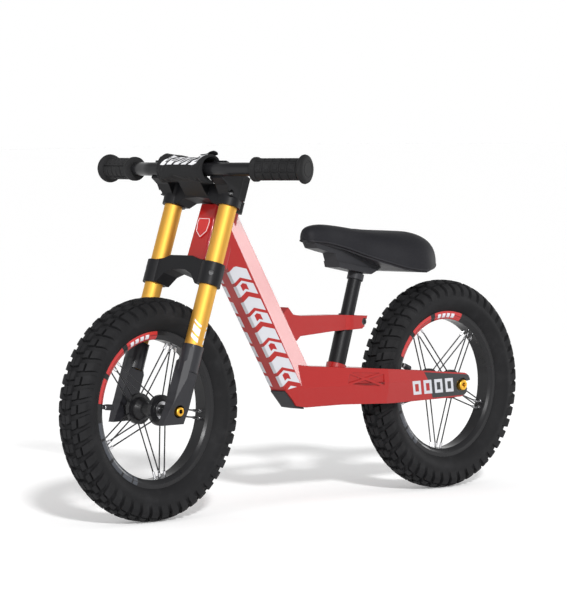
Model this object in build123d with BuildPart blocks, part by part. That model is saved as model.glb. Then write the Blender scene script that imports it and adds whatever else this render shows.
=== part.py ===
from build123d import *
from math import atan2, cos, degrees, hypot, radians, sin, tan
import os

# Balance bike. Millimetres and degrees. +X is forward, +Y is the rider's left,
# +Z is up. The origin lies on the ground, midway between the two axles.

os.makedirs("parts", exist_ok=True)

# ---------------------------------------------------------------- driving sizes
# Wheels
wheelbase = 586.4
tyre_radius = 155.0
tyre_half_width = 28.7
tyre_crown_half_width = 17.0
tyre_wall = 3.2
rim_edge_radius = 108.8
rim_edge_half_width = 14.5
rim_inner_radius = 96.5
rim_base_half_width = 10.0
rim_wall = 2.4
tube_wall = 1.5
tube_section = 18.3
hub_flange_y = 22.0
hub_flange_radius = 21.5
hub_flange_thickness = 6.0
hub_shell_radius = 9.0
hub_end_y = 27.0
hub_boss_radius = 15.5
bearing_outer_radius = 13.0
bearing_width = 8.0
axle_radius = 5.0
spoke_radius = 1.0
spoke_groups = 5
spoke_pair_offset = 4.9
spoke_rim_y = 4.0
nipple_radius = 2.1
nipple_length = 10.0
valve_radius = 3.0
valve_length = 41.0
valve_cap_radius = 4.2
valve_cap_length = 14.0
front_spoke_angle = 44.0
front_valve_angle = 6.0
rear_spoke_angle = 59.5
rear_valve_angle = 22.0

# Fork and steering
head_angle = 20.17
steering_offset = 35.0
stanchion_y = 54.9
stanchion_radius = 12.7
stanchion_wall = 2.0
stanchion_foot = 56.0
collar_wall = 3.8
lower_crown_bottom = 180.0
lower_crown_top = 212.0
lower_bridge_bottom = 200.0
head_bottom = 222.0
head_height = 81.0
upper_crown_bottom = 294.6
upper_crown_top = 340.5
upper_bridge_height = 17.0
crown_gap = 1.5
lower_crown_gap = 2.5
bridge_front = 12.0
bridge_back = 14.0
boss_half_width = 17.0
boss_back = 30.0
steerer_radius = 11.1
steerer_wall = 2.0
headset_bearing_radius = 15.0
headset_bearing_width = 7.0
cover_radius = 16.6
leg_inner_y = 45.0
leg_outer_y = 68.0
leg_shell_wall = 2.5
leg_top = 93.5
leg_notch = 64.0
leg_ground_gap = 137.0
leg_seat_y = 53.0
front_cap_y = 63.0
front_cap_radius = 6.4

# Handlebar
bar_radius = 9.52
bar_wall = 2.0
bar_reach = 39.0
bar_height = 336.0
bar_straight_y = 77.0
bar_end_y = 202.6
bar_sweep = 15.05
bar_bend_radius = 40.0
cradle_wall = 3.48
cradle_inner_y = 47.0
clamp_half_width = 22.0
clamp_wall = 3.98
clamp_ear_reach = 6.08
clamp_bolt_reach = 2.68
clamp_bolt_y = 14.0
clamp_bolt_radius = 2.0
pad_radius = 19.8
pad_wall = 3.0
pad_half_length = 42.0
grip_length = 84.4
grip_radius = 15.3
grip_flange_radius = 17.0
grip_end_radius = 20.2
grip_end_wall = 5.0

# Frame
beam_front_half_width = 14.0
beam_crease_half_width = 22.0
beam_rear_half_width = 12.0
beam_depth = 58.0
beam_foot = (44.3, 165.5)
beam_head = (157.5, 349.0)
beam_top_reach = 262.0
head_half_width = 20.0
head_top_half_width = 17.0
head_front = 21.0
head_back = 25.0
stay_crease_z = 168.0
stay_half_width = 48.0
stay_inner_y = 36.0
stay_top_taper = 6.0
stay_bottom_taper = 12.0
stay_slot_x = -125.0
stay_wide_x = -135.0
stay_front_x = 24.0
stay_front_half_width = 21.4
stay_tail_radius = 18.2
arm_half_width = 12.0
arm_clamp_half_width = 17.0
arm_top = (-67.0, 268.6)
arm_end = ((-123.0, 265.0), (-116.5, 249.5), (-112.0, 246.6))
arm_under = (-54.0, 245.2)
dropout_pocket_radius = 10.4
dropout_pocket_depth = 5.0
rear_nut_y = 50.0
rear_nut_radius = 7.8
guard_thickness = 2.5
guard_half_width = 13.6
panel_depth = 1.6

# Seat
seat_angle = 18.3
seat_base = (-74.1, 193.6)
seat_tube_wall = 2.7
seat_tube_foot = -44.0
seat_tube_top = 76.0
post_radius = 10.0
post_wall = 2.0
post_foot = 8.0
post_top = 152.0
post_collar_wall = 2.0
post_collar_length = 9.0
seat_bolt = (-116.8, 256.5)
seat_bolt_radius = 3.0
saddle_pan = 4.0

# Fits
running_gap = 0.05
axial_gap = 0.25
soft_gap = 0.3
press_gap = 0.02

# ---------------------------------------------------------------- derived places
front_x = wheelbase / 2
rear_x = -wheelbase / 2
axle_z = tyre_radius
steer_cos = cos(radians(head_angle))
steer_sin = sin(radians(head_angle))
fork_forward = (steer_cos, 0, steer_sin)
fork_up = (-steer_sin, 0, steer_cos)
fork = Plane(origin=(front_x, 0, axle_z), x_dir=fork_forward, z_dir=fork_up)
fork_side = Plane(origin=(front_x, 0, axle_z), x_dir=fork_forward, z_dir=(0, -1, 0))
fork_front = Plane(origin=(front_x, 0, axle_z), x_dir=(0, 1, 0), z_dir=fork_forward)
head_top = head_bottom + head_height
lower_bridge_top = head_bottom - lower_crown_gap
upper_bridge_bottom = head_top + crown_gap
upper_bridge_top = upper_bridge_bottom + upper_bridge_height
stanchion_top = upper_crown_top - 4.5
collar_radius = stanchion_radius + collar_wall
cradle_radius = bar_radius + cradle_wall
clamp_radius = bar_radius + clamp_wall
clamp_ear = bar_radius + clamp_ear_reach
clamp_bolt_offset = bar_radius + clamp_bolt_reach
seat_tube_radius = post_radius + seat_tube_wall
bar_centre = fork_side.from_local_coords((bar_reach, bar_height, 0))
seat = Plane(
    origin=(seat_base[0], 0, seat_base[1]),
    x_dir=(cos(radians(seat_angle)), 0, sin(radians(seat_angle))),
    z_dir=(-sin(radians(seat_angle)), 0, cos(radians(seat_angle))),
)


base_align = (Align.CENTER, Align.CENTER, Align.MIN)


def save(piece, node):
    """Label a finished piece and write it as the node's STEP file."""
    piece.part.label = node
    export_step(piece.part, f"parts/{node}.step")


def cross_axis(x, z, y):
    """Plane at (x, y, z) whose normal is +Y and whose local x is -X."""
    return Plane(origin=(x, y, z), x_dir=(1, 0, 0), z_dir=(0, 1, 0))


# ---------------------------------------------------------------- wheels
def spoke_planes(x, first_angle):
    """Planes at each spoke's hub end, with the normal along the spoke."""
    planes = []
    hub_reach = hub_boss_radius + 0.8
    rim_reach = rim_inner_radius + rim_wall * 0.5
    hub_y = hub_flange_y + 0.6
    for group in range(spoke_groups):
        angle = radians(first_angle + 360 / spoke_groups * group)
        radial = Vector(cos(angle), 0, sin(angle))
        sideways = Vector(-sin(angle), 0, cos(angle))
        for side in (1, -1):
            for pair in (1, -1):
                shift = sideways * (spoke_pair_offset * pair)
                inner = Vector(x, hub_y * side, axle_z) + radial * hub_reach + shift
                outer = Vector(x, spoke_rim_y * side, axle_z) + radial * rim_reach + shift
                planes.append(Plane(origin=inner, z_dir=outer - inner))
    return planes


def spoke_span():
    """Length of a spoke's line from its hub end to the rim's base."""
    radial_run = rim_inner_radius + rim_wall * 0.5 - hub_boss_radius - 0.8
    return hypot(radial_run, hub_flange_y + 0.6 - spoke_rim_y)


def make_wheel(name, x, spoke_angle, valve_angle):
    """Tyre, inner tube, rim, hub, bearings, spokes, nipples and valve of one wheel."""
    section = Plane(origin=(x, 0, axle_z), x_dir=(0, 1, 0), z_dir=(1, 0, 0))
    spin = Axis((x, 0, axle_z), (0, 1, 0))
    bead_radius = rim_inner_radius + 7.0 + soft_gap
    rim_lip_y = rim_edge_half_width + 0.5
    rim_lip_radius = rim_edge_radius + soft_gap
    bead_y = rim_edge_half_width - rim_wall - 0.3
    crown_y = tyre_crown_half_width
    shoulder_radius = tyre_radius - 6.5
    wide_radius = (tyre_radius + rim_edge_radius) / 2 + 1.5

    with BuildPart() as tyre:
        with BuildSketch(section):
            with BuildLine():
                Line((crown_y, tyre_radius - 1.5), (crown_y + 7.5, shoulder_radius))
                ThreePointArc(
                    (crown_y + 7.5, shoulder_radius),
                    (tyre_half_width, wide_radius),
                    (rim_lip_y, rim_lip_radius),
                )
                Line((rim_lip_y, rim_lip_radius), (bead_y, rim_lip_radius))
                Line((bead_y, rim_lip_radius), (bead_y, bead_radius))
                Line((bead_y, bead_radius), (bead_y - tyre_wall, bead_radius))
                Line((bead_y - tyre_wall, bead_radius), (bead_y - tyre_wall, rim_edge_radius + 2.0))
                ThreePointArc(
                    (bead_y - tyre_wall, rim_edge_radius + 2.0),
                    (tyre_half_width - tyre_wall, wide_radius),
                    (crown_y + 2.0, tyre_radius - tyre_wall - 5.5),
                )
                Line((crown_y + 2.0, tyre_radius - tyre_wall - 5.5), (0, tyre_radius - tyre_wall - 2.5))
                Line((0, tyre_radius - tyre_wall - 2.5), (0, tyre_radius))
                Line((0, tyre_radius), (crown_y, tyre_radius - 1.5))
            make_face()
            mirror(about=Plane.YZ)
        revolve(axis=spin)
    save(tyre, f"{name}_tyre")

    tube_outer = tyre_radius - tyre_wall - 2.5 - soft_gap
    tube_inner = tube_outer - 2 * tube_section
    with BuildPart() as inner_tube:
        with BuildSketch(section):
            with Locations((0, (tube_outer + tube_inner) / 2)):
                Circle(tube_section)
                Circle(tube_section - tube_wall, mode=Mode.SUBTRACT)
        revolve(axis=spin)
    save(inner_tube, f"{name}_inner_tube")

    holes = spoke_planes(x, spoke_angle)
    valve_direction = (cos(radians(valve_angle)), 0, sin(radians(valve_angle)))
    valve_foot = Vector(x, 0, axle_z) + Vector(*valve_direction) * (tube_inner - soft_gap)
    valve = Plane(origin=valve_foot, z_dir=-Vector(*valve_direction))
    with BuildPart() as rim:
        with BuildSketch(section):
            with BuildLine():
                Polyline(
                    (0, rim_inner_radius),
                    (rim_base_half_width, rim_inner_radius),
                    (rim_edge_half_width - 1.6, rim_inner_radius + 3.6),
                    (rim_edge_half_width, rim_inner_radius + 6.4),
                    (rim_edge_half_width, rim_edge_radius),
                    (rim_edge_half_width - rim_wall, rim_edge_radius),
                    (rim_edge_half_width - rim_wall, rim_inner_radius + 7.0),
                    (rim_base_half_width - 1.0, rim_inner_radius + rim_wall),
                    (0, rim_inner_radius + rim_wall),
                    close=True,
                )
            make_face()
            mirror(about=Plane.YZ)
        revolve(axis=spin)
        with Locations(*[plane.offset(spoke_span()).location for plane in holes]):
            Cylinder(nipple_radius + running_gap, 12.0, mode=Mode.SUBTRACT)
        with Locations(valve.location):
            Cylinder(valve_radius + 0.4, valve_length, mode=Mode.SUBTRACT)
    save(rim, f"{name}_rim")

    with BuildPart() as hub:
        flange_in = hub_flange_y - hub_flange_thickness / 2
        flange_out = hub_flange_y + hub_flange_thickness / 2
        bearing_in = hub_end_y - 2.0 - bearing_width
        with BuildSketch(section):
            with BuildLine():
                Polyline(
                    (0, axle_radius + 1.5),
                    (0, hub_shell_radius),
                    (9.0, hub_shell_radius),
                    (bearing_in - 3.0, hub_boss_radius),
                    (flange_in, hub_boss_radius + 1.0),
                    (flange_in, hub_flange_radius),
                    (flange_out, hub_flange_radius),
                    (flange_out, hub_boss_radius),
                    (hub_end_y, hub_boss_radius),
                    (hub_end_y, bearing_outer_radius),
                    (bearing_in, bearing_outer_radius),
                    (bearing_in, axle_radius + 1.5),
                    close=True,
                )
            make_face()
            mirror(about=Plane.YZ)
        revolve(axis=spin)
        with Locations(*[plane.location for plane in holes]):
            Cylinder(spoke_radius + running_gap, 30.0,
                     align=base_align, mode=Mode.SUBTRACT)
    save(hub, f"{name}_hub")

    with BuildPart() as bearings:
        for side in (1, -1):
            with BuildSketch(cross_axis(x, axle_z, side * (hub_end_y - 2.0))):
                Circle(bearing_outer_radius)
                Circle(axle_radius + running_gap, mode=Mode.SUBTRACT)
            extrude(amount=-side * bearing_width)
    save(bearings, f"{name}_bearings")

    nipple_start = spoke_span() - nipple_length
    with BuildPart() as spokes:
        with Locations(*[plane.location for plane in holes]):
            Cylinder(spoke_radius, nipple_start, align=base_align)
    save(spokes, f"{name}_spokes")

    with BuildPart() as nipples:
        with Locations(*[plane.offset(nipple_start).location for plane in holes]):
            Cylinder(nipple_radius, nipple_length, align=base_align)
    save(nipples, f"{name}_nipples")

    cap_start = valve_length - valve_cap_length + 2.0
    with BuildPart() as valve_stem:
        with Locations(valve.location):
            Cylinder(valve_radius, valve_length, align=base_align)
    save(valve_stem, f"{name}_valve_stem")

    with BuildPart() as valve_cap:
        with Locations(valve.offset(cap_start).location):
            Cylinder(valve_cap_radius, valve_cap_length,
                     align=base_align)
            Cylinder(valve_radius + running_gap, valve_length - cap_start,
                     align=base_align, mode=Mode.SUBTRACT)
    save(valve_cap, f"{name}_valve_cap")


make_wheel("front", front_x, front_spoke_angle, front_valve_angle)
make_wheel("rear", rear_x, rear_spoke_angle, rear_valve_angle)


def make_axle(name, x, outer_end, seat_y, spacer_end, nut_end, nut_radius):
    """Axle, its two spacers beside the hub and its two capped nuts."""
    with BuildPart() as axle:
        with BuildSketch(cross_axis(x, axle_z, -outer_end)):
            Circle(axle_radius)
        extrude(amount=2 * outer_end)
    save(axle, f"{name}_axle")

    with BuildPart() as spacers:
        for side in (1, -1):
            with BuildSketch(cross_axis(x, axle_z, side * spacer_end)):
                Circle(axle_radius + 3.0)
                Circle(axle_radius + running_gap, mode=Mode.SUBTRACT)
            extrude(amount=-side * (spacer_end - hub_end_y + 2.0 - axial_gap))
    save(spacers, f"{name}_axle_spacers")

    with BuildPart() as nuts:
        for side in (1, -1):
            with BuildSketch(cross_axis(x, axle_z, side * seat_y)):
                Circle(nut_radius)
            extrude(amount=side * (nut_end - seat_y))
            with BuildSketch(cross_axis(x, axle_z, side * seat_y)):
                Circle(axle_radius + running_gap)
            extrude(amount=side * (outer_end + axial_gap - seat_y), mode=Mode.SUBTRACT)
            with BuildSketch(cross_axis(x, axle_z, side * nut_end)):
                RegularPolygon(nut_radius * 0.5, 6)
            extrude(amount=-side * 2.4, mode=Mode.SUBTRACT)
        outer_rims = nuts.edges().filter_by(GeomType.CIRCLE).filter_by(
            lambda edge: abs(edge.radius - nut_radius) < 0.01 and abs(edge.center().Y) > nut_end - 0.1)
        fillet(outer_rims, radius=1.6)
    save(nuts, f"{name}_axle_nuts")


make_axle("front", front_x, front_cap_y - 4.0, leg_seat_y, leg_inner_y, front_cap_y, front_cap_radius)
rear_seat_y = stay_half_width - dropout_pocket_depth
make_axle("rear", rear_x, rear_nut_y - 3.5, rear_seat_y, stay_inner_y, rear_nut_y, rear_nut_radius)

# ---------------------------------------------------------------- frame
beam_run = (beam_head[0] - beam_foot[0], beam_head[1] - beam_foot[1])
beam_length = hypot(*beam_run)
beam_dir = (beam_run[0] / beam_length, 0, beam_run[1] / beam_length)
beam = Plane(
    origin=(beam_foot[0], 0, beam_foot[1]),
    x_dir=(beam_dir[2], 0, -beam_dir[0]),
    z_dir=beam_dir,
)


def beam_section(reach, crease):
    """Six-sided section of the main beam at a distance along it."""
    with BuildSketch(beam.offset(reach)) as section:
        with BuildLine():
            Polyline(
                (0, beam_front_half_width),
                (-crease, beam_crease_half_width),
                (-beam_depth, beam_rear_half_width),
                (-beam_depth, -beam_rear_half_width),
                (-crease, -beam_crease_half_width),
                (0, -beam_front_half_width),
                close=True,
            )
        make_face()
    return section.sketch


# Side outline of the whole yoke: the stays and the bend under the main beam.
stay_tail_x = rear_x - stay_tail_radius
with BuildPart() as yoke:
    with BuildSketch(Plane.XY.offset(stay_crease_z), mode=Mode.PRIVATE) as plan:
        with BuildLine():
            Polyline(
                (46, beam_front_half_width + 1.0),
                (stay_front_x, stay_front_half_width),
                (stay_wide_x, stay_half_width),
                (stay_tail_x, stay_half_width),
                (stay_tail_x, -stay_half_width),
                (stay_wide_x, -stay_half_width),
                (stay_front_x, -stay_front_half_width),
                (46, -beam_front_half_width - 1.0),
                close=True,
            )
        make_face()
    extrude(plan.sketch, amount=34, taper=stay_top_taper)
    extrude(plan.sketch, amount=-34, taper=stay_bottom_taper)
    with BuildSketch(Plane.XZ):
        with BuildLine():
            Polyline(
                (beam_foot[0], beam_foot[1]),
                (30.8, 151.8),
                (23.6, 142.6),
                (6.8, 139.5),
                (-56, 140.2),
                (-150, 136.8),
                (rear_x, axle_z - stay_tail_radius + 0.4),
            )
            ThreePointArc(
                (rear_x, axle_z - stay_tail_radius + 0.4),
                (stay_tail_x, axle_z),
                (rear_x, axle_z + stay_tail_radius),
            )
            Polyline(
                (rear_x, axle_z + stay_tail_radius),
                (-145, 187.0),
                (0, 198.5),
                (20, 201.0),
                (beam_foot[0], beam_foot[1] + 24.0),
                (beam_foot[0], beam_foot[1]),
            )
        make_face()
    extrude(amount=stay_half_width + 2, both=True, mode=Mode.INTERSECT)

with BuildPart() as arm:
    tube_x_at_arm = seat_base[0] - (seat_bolt[1] - seat_base[1]) * tan(radians(seat_angle))
    with BuildSketch(Plane.XZ):
        with BuildLine():
            Polyline(
                (34, 284), (24.0, 273.5), (10, 270.8), arm_top, *arm_end, arm_under,
                (10, 241.6), (22, 232), (60, 262), close=True,
            )
        make_face()
    extrude(amount=arm_half_width, both=True)
with BuildPart() as arm_clamp:
    with BuildSketch(Plane.XY.offset(238)):
        with Locations((tube_x_at_arm, 0)):
            Circle(arm_clamp_half_width)
        with Locations(((tube_x_at_arm + arm_end[0][0]) / 2, 0)):
            Rectangle(tube_x_at_arm - arm_end[0][0], 2 * arm_clamp_half_width)
    extrude(amount=36)
    with BuildSketch(Plane.XZ):
        with BuildLine():
            Polyline(
                arm_top, *arm_end, arm_under, close=True,
            )
        make_face()
    extrude(amount=30, both=True, mode=Mode.INTERSECT)

with BuildPart() as frame:
    add(beam_section(-20, 24.8))
    add(beam_section(beam_top_reach, 29.0))
    loft(ruled=True)
    # The beam ends flush with the top of the head, and at the bend below.
    with BuildSketch(fork_side):
        with BuildLine():
            Polyline(
                (-300, -300), (60, -300), (60, head_top), (-300, head_top), close=True,
            )
        make_face()
    extrude(amount=60, both=True, mode=Mode.INTERSECT)
    with BuildSketch(Plane.XZ):
        with BuildLine():
            Polyline(
                (beam_foot[0], beam_foot[1]), (30.8, 151.8), (23.6, 142.6), (23.6, 120),
                (90, 120), (90, 165.5), close=True,
            )
        make_face()
    extrude(amount=60, both=True, mode=Mode.SUBTRACT)
    add(yoke.part)
    # Head: a box around the steering axis that narrows towards its top.
    with BuildSketch(fork.offset(head_bottom)):
        with Locations((-steering_offset + (head_front - head_back) / 2, 0)):
            RectangleRounded(head_front + head_back, 2 * head_half_width, 4)
    with BuildSketch(fork.offset(head_top)):
        with Locations((-steering_offset + (head_front - head_back) / 2, 0)):
            RectangleRounded(head_front + head_back, 2 * head_top_half_width, 4)
    loft()
    add(arm.part)
    add(arm_clamp.part)
    # Base boss of the seat tube.
    with BuildSketch(seat.offset(-30)):
        Circle(seat_tube_radius + 2.0)
    extrude(amount=33)
    # Wheel slot between the stays.
    with BuildSketch(Plane.XY.offset(100)):
        with BuildLine():
            Polyline(
                (stay_tail_x - 10, stay_inner_y), (stay_slot_x - 22, stay_inner_y),
                (stay_slot_x, stay_inner_y - 20), (stay_slot_x, -stay_inner_y + 20),
                (stay_slot_x - 22, -stay_inner_y), (stay_tail_x - 10, -stay_inner_y), close=True,
            )
        make_face()
    extrude(amount=130, mode=Mode.SUBTRACT)
    # Recessed panels with crossed ribs on the outer side of each stay.
    for side in (1, -1):
        slope = degrees(atan2(stay_half_width - stay_front_half_width, stay_front_x - stay_wide_x))
        panel = Plane(
            origin=(stay_wide_x + 8, side * (stay_half_width - 1.5), 172.8),
            x_dir=(cos(radians(slope)), -side * sin(radians(slope)), 0),
            z_dir=(side * sin(radians(slope)), side * cos(radians(slope)), 0),
        )
        up = 1 if panel.y_dir.Z > 0 else -1
        with BuildSketch(panel):
            with BuildLine():
                Polyline((0, -9.5 * up), (66, -3.5 * up), (60, 13 * up), (0, 9.5 * up), close=True)
            make_face()
            fillet(vertices(), radius=2)
            with BuildLine(mode=Mode.PRIVATE) as cross_lines:
                Line((2, -9 * up), (61, 12.4 * up))
                Line((1, 9.5 * up), (64, -3.5 * up))
            for line in cross_lines.line.edges():
                with Locations(Location(line @ 0.5, (0, 0, degrees(atan2((line % 0.5).Y, (line % 0.5).X))))):
                    Rectangle(line.length + 8, 3.4, mode=Mode.SUBTRACT)
        extrude(amount=-panel_depth - 0.6, mode=Mode.SUBTRACT)
    # Steering bore with a bearing seat at each end.
    steer_centre = (-steering_offset, 0)
    with BuildSketch(fork.offset(head_bottom - 10)):
        with Locations(steer_centre):
            Circle(steerer_radius + 1.4)
    extrude(amount=head_height + 20, mode=Mode.SUBTRACT)
    for start in (head_bottom, head_top - headset_bearing_width):
        with BuildSketch(fork.offset(start)):
            with Locations(steer_centre):
                Circle(headset_bearing_radius + press_gap)
        extrude(amount=headset_bearing_width, mode=Mode.SUBTRACT)
    # Seat tube bore, clamp slit and clamp bolt holes.
    with BuildSketch(seat.offset(seat_tube_foot)):
        Circle(seat_tube_radius + press_gap)
    extrude(amount=seat_tube_top - seat_tube_foot + 30, mode=Mode.SUBTRACT)
    with BuildSketch(Plane.XZ):
        with BuildLine():
            Polyline(
                (tube_x_at_arm - 6, 236), (-130, 236), (-130, 276), (tube_x_at_arm - 6, 276),
                close=True,
            )
        make_face()
    extrude(amount=1.4, both=True, mode=Mode.SUBTRACT)
    with BuildSketch(Plane.XZ):
        with Locations(seat_bolt):
            Circle(seat_bolt_radius + running_gap)
    extrude(amount=arm_clamp_half_width + 1, both=True, mode=Mode.SUBTRACT)
    for side in (1, -1):
        with BuildSketch(cross_axis(seat_bolt[0], seat_bolt[1], side * (arm_clamp_half_width - 3.2))):
            Circle(seat_bolt_radius + 2.2)
        extrude(amount=side * 6, mode=Mode.SUBTRACT)
    # Dropouts: a slot open to the rear and a round pocket for each nut.
    with BuildSketch(Plane.XZ):
        with Locations((rear_x, axle_z)):
            Circle(axle_radius + running_gap)
        with Locations((rear_x - 20, axle_z)):
            Rectangle(40, 2 * (axle_radius + running_gap))
    extrude(amount=stay_half_width + 3, both=True, mode=Mode.SUBTRACT)
    for side in (1, -1):
        with BuildSketch(cross_axis(rear_x, axle_z, side * rear_seat_y)):
            Circle(dropout_pocket_radius)
            with Locations((-20, 0)):
                Rectangle(40, 12.0)
        extrude(amount=side * 12, mode=Mode.SUBTRACT)
save(frame, "frame")

# The guard follows the bend under the beam, just outside it.
with BuildPart() as bash_guard:
    with BuildSketch(Plane.XZ):
        with BuildLine():
            Polyline(
                beam_foot, (30.8, 151.8), (23.6, 142.6), (6.8, 139.5),
                (6.2, 139.5 - guard_thickness), (24.6, 142.6 - guard_thickness),
                (33.0, 150.6 - guard_thickness * 0.4), (beam_foot[0] + 2.0, beam_foot[1] - 1.4),
                close=True,
            )
        make_face()
    extrude(amount=guard_half_width, both=True)
save(bash_guard, "bash_guard")

with BuildPart() as head_badge:
    badge_plane = fork_front.offset(-steering_offset + head_front)
    with BuildSketch(badge_plane):
        with BuildLine():
            Polyline(
                (-11.5, 283), (11.5, 283), (13.5, 277), (11.5, 262), (0, 252), (-11.5, 262),
                (-13.5, 277), close=True,
            )
        make_face()
        fillet(vertices(), radius=1.5)
    extrude(amount=1.5)
save(head_badge, "head_badge")

with BuildPart() as seat_tube:
    with BuildSketch(seat.offset(seat_tube_foot)):
        Circle(seat_tube_radius)
        Circle(post_radius + running_gap, mode=Mode.SUBTRACT)
    extrude(amount=seat_tube_top - seat_tube_foot)
    with BuildSketch(seat.offset(seat_tube_top - 26)):
        with Locations((-seat_tube_radius, 0)):
            Rectangle(8, 2.4)
    extrude(amount=30, mode=Mode.SUBTRACT)
save(seat_tube, "seat_tube")

with BuildPart() as seat_clamp_bolt:
    bolt_half = arm_clamp_half_width - 3.2
    with BuildSketch(Plane.XZ):
        with Locations(seat_bolt):
            Circle(seat_bolt_radius)
    extrude(amount=bolt_half, both=True)
    for side in (1, -1):
        with BuildSketch(cross_axis(seat_bolt[0], seat_bolt[1], side * bolt_half)):
            Circle(seat_bolt_radius + 1.9)
        extrude(amount=side * 2.2)
        with BuildSketch(cross_axis(seat_bolt[0], seat_bolt[1], side * (bolt_half + 2.2))):
            RegularPolygon(2.6, 6)
        extrude(amount=-side * 1.4, mode=Mode.SUBTRACT)
save(seat_clamp_bolt, "seat_clamp_bolt")

with BuildPart() as headset_bearings:
    for start in (head_bottom, head_top - headset_bearing_width):
        with BuildSketch(fork.offset(start)):
            with Locations(steer_centre):
                Circle(headset_bearing_radius)
                Circle(steerer_radius + running_gap, mode=Mode.SUBTRACT)
        extrude(amount=headset_bearing_width)
save(headset_bearings, "headset_bearings")

# ---------------------------------------------------------------- fork
with BuildPart() as headset_covers:
    for start in (lower_bridge_top, upper_bridge_bottom):
        direction = 1 if start == lower_bridge_top else -1
        reach = (lower_crown_gap if direction == 1 else crown_gap) - soft_gap
        with BuildSketch(fork.offset(start)):
            with Locations(steer_centre):
                Circle(cover_radius)
                Circle(steerer_radius + running_gap, mode=Mode.SUBTRACT)
        extrude(amount=direction * reach)
save(headset_covers, "headset_covers")

with BuildPart() as steerer:
    with BuildSketch(fork.offset(lower_bridge_bottom)):
        with Locations(steer_centre):
            Circle(steerer_radius)
            Circle(steerer_radius - steerer_wall, mode=Mode.SUBTRACT)
    extrude(amount=upper_bridge_top - lower_bridge_bottom)
save(steerer, "steerer")

with BuildPart() as top_cap:
    with BuildSketch(fork.offset(upper_bridge_top)):
        with Locations(steer_centre):
            Circle(steerer_radius + 4.4)
    extrude(amount=3.0)
    with BuildSketch(fork.offset(upper_bridge_top + 3.0)):
        with Locations(steer_centre):
            Circle(4.6)
    extrude(amount=3.2)
    with BuildSketch(fork.offset(upper_bridge_top + 6.2)):
        with Locations(steer_centre):
            RegularPolygon(2.9, 6)
    extrude(amount=-2.4, mode=Mode.SUBTRACT)
    with BuildSketch(fork.offset(upper_bridge_top)):
        with Locations(steer_centre):
            Circle(steerer_radius - steerer_wall - running_gap)
    extrude(amount=-14.0)
save(top_cap, "top_cap")

screw_angle = 45.0
screw_radius = 3.4


def screw_planes():
    """Planes on the stanchions' surfaces whose normals point along the pinch screws."""
    planes = []
    for side in (1, -1):
        for height in ((lower_crown_bottom + lower_crown_top) / 2, upper_crown_bottom + collar_radius):
            out = (cos(radians(screw_angle)), side * sin(radians(screw_angle)))
            centre = fork.from_local_coords((
                (stanchion_radius + running_gap) * out[0],
                side * stanchion_y + (stanchion_radius + running_gap) * out[1],
                height,
            ))
            tip = fork.from_local_coords((
                collar_radius * out[0], side * stanchion_y + collar_radius * out[1], height,
            ))
            planes.append(Plane(origin=centre, z_dir=tip - centre))
    return planes


def stanchion_places(height):
    """Locations of the two stanchions' axes at a height along the fork."""
    return [fork.offset(height).location * Location((0, side * stanchion_y, 0)) for side in (1, -1)]


screw_places = [plane.location for plane in screw_planes()]
with BuildPart() as lower_crown:
    for side in (1, -1):
        with BuildSketch(fork.offset(lower_crown_bottom)):
            with Locations((0, side * stanchion_y)):
                Circle(collar_radius)
        extrude(amount=lower_crown_top - lower_crown_bottom)
    with BuildSketch(fork_front.offset(-bridge_back)):
        with BuildLine():
            Polyline(
                (0, lower_bridge_bottom), (14, lower_bridge_bottom - 1.0), (27, lower_bridge_bottom - 6.5),
                (39, lower_crown_bottom), (stanchion_y, lower_crown_bottom),
                (stanchion_y, lower_crown_top), (34, lower_crown_top + 3.0), (22, lower_bridge_top),
                (0, lower_bridge_top), close=True,
            )
        make_face()
        mirror(about=Plane.YZ)
    extrude(amount=bridge_back + bridge_front)
    with BuildSketch(fork.offset(lower_bridge_bottom)):
        with Locations(steer_centre):
            Circle(boss_half_width)
        with Locations((-steering_offset / 2, 0)):
            Rectangle(steering_offset, 2 * boss_half_width)
    extrude(amount=lower_bridge_top - lower_bridge_bottom)
    with BuildSketch(fork.offset(lower_bridge_bottom - 1)):
        with Locations(steer_centre):
            Circle(steerer_radius + press_gap)
    extrude(amount=30, mode=Mode.SUBTRACT)
    with Locations(*stanchion_places(lower_crown_bottom - 1)):
        Cylinder(stanchion_radius + press_gap, 45.0, align=base_align, mode=Mode.SUBTRACT)
    with Locations(*screw_places):
        Cylinder(screw_radius + running_gap, 12.0, align=base_align, mode=Mode.SUBTRACT)
save(lower_crown, "lower_crown")

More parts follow.
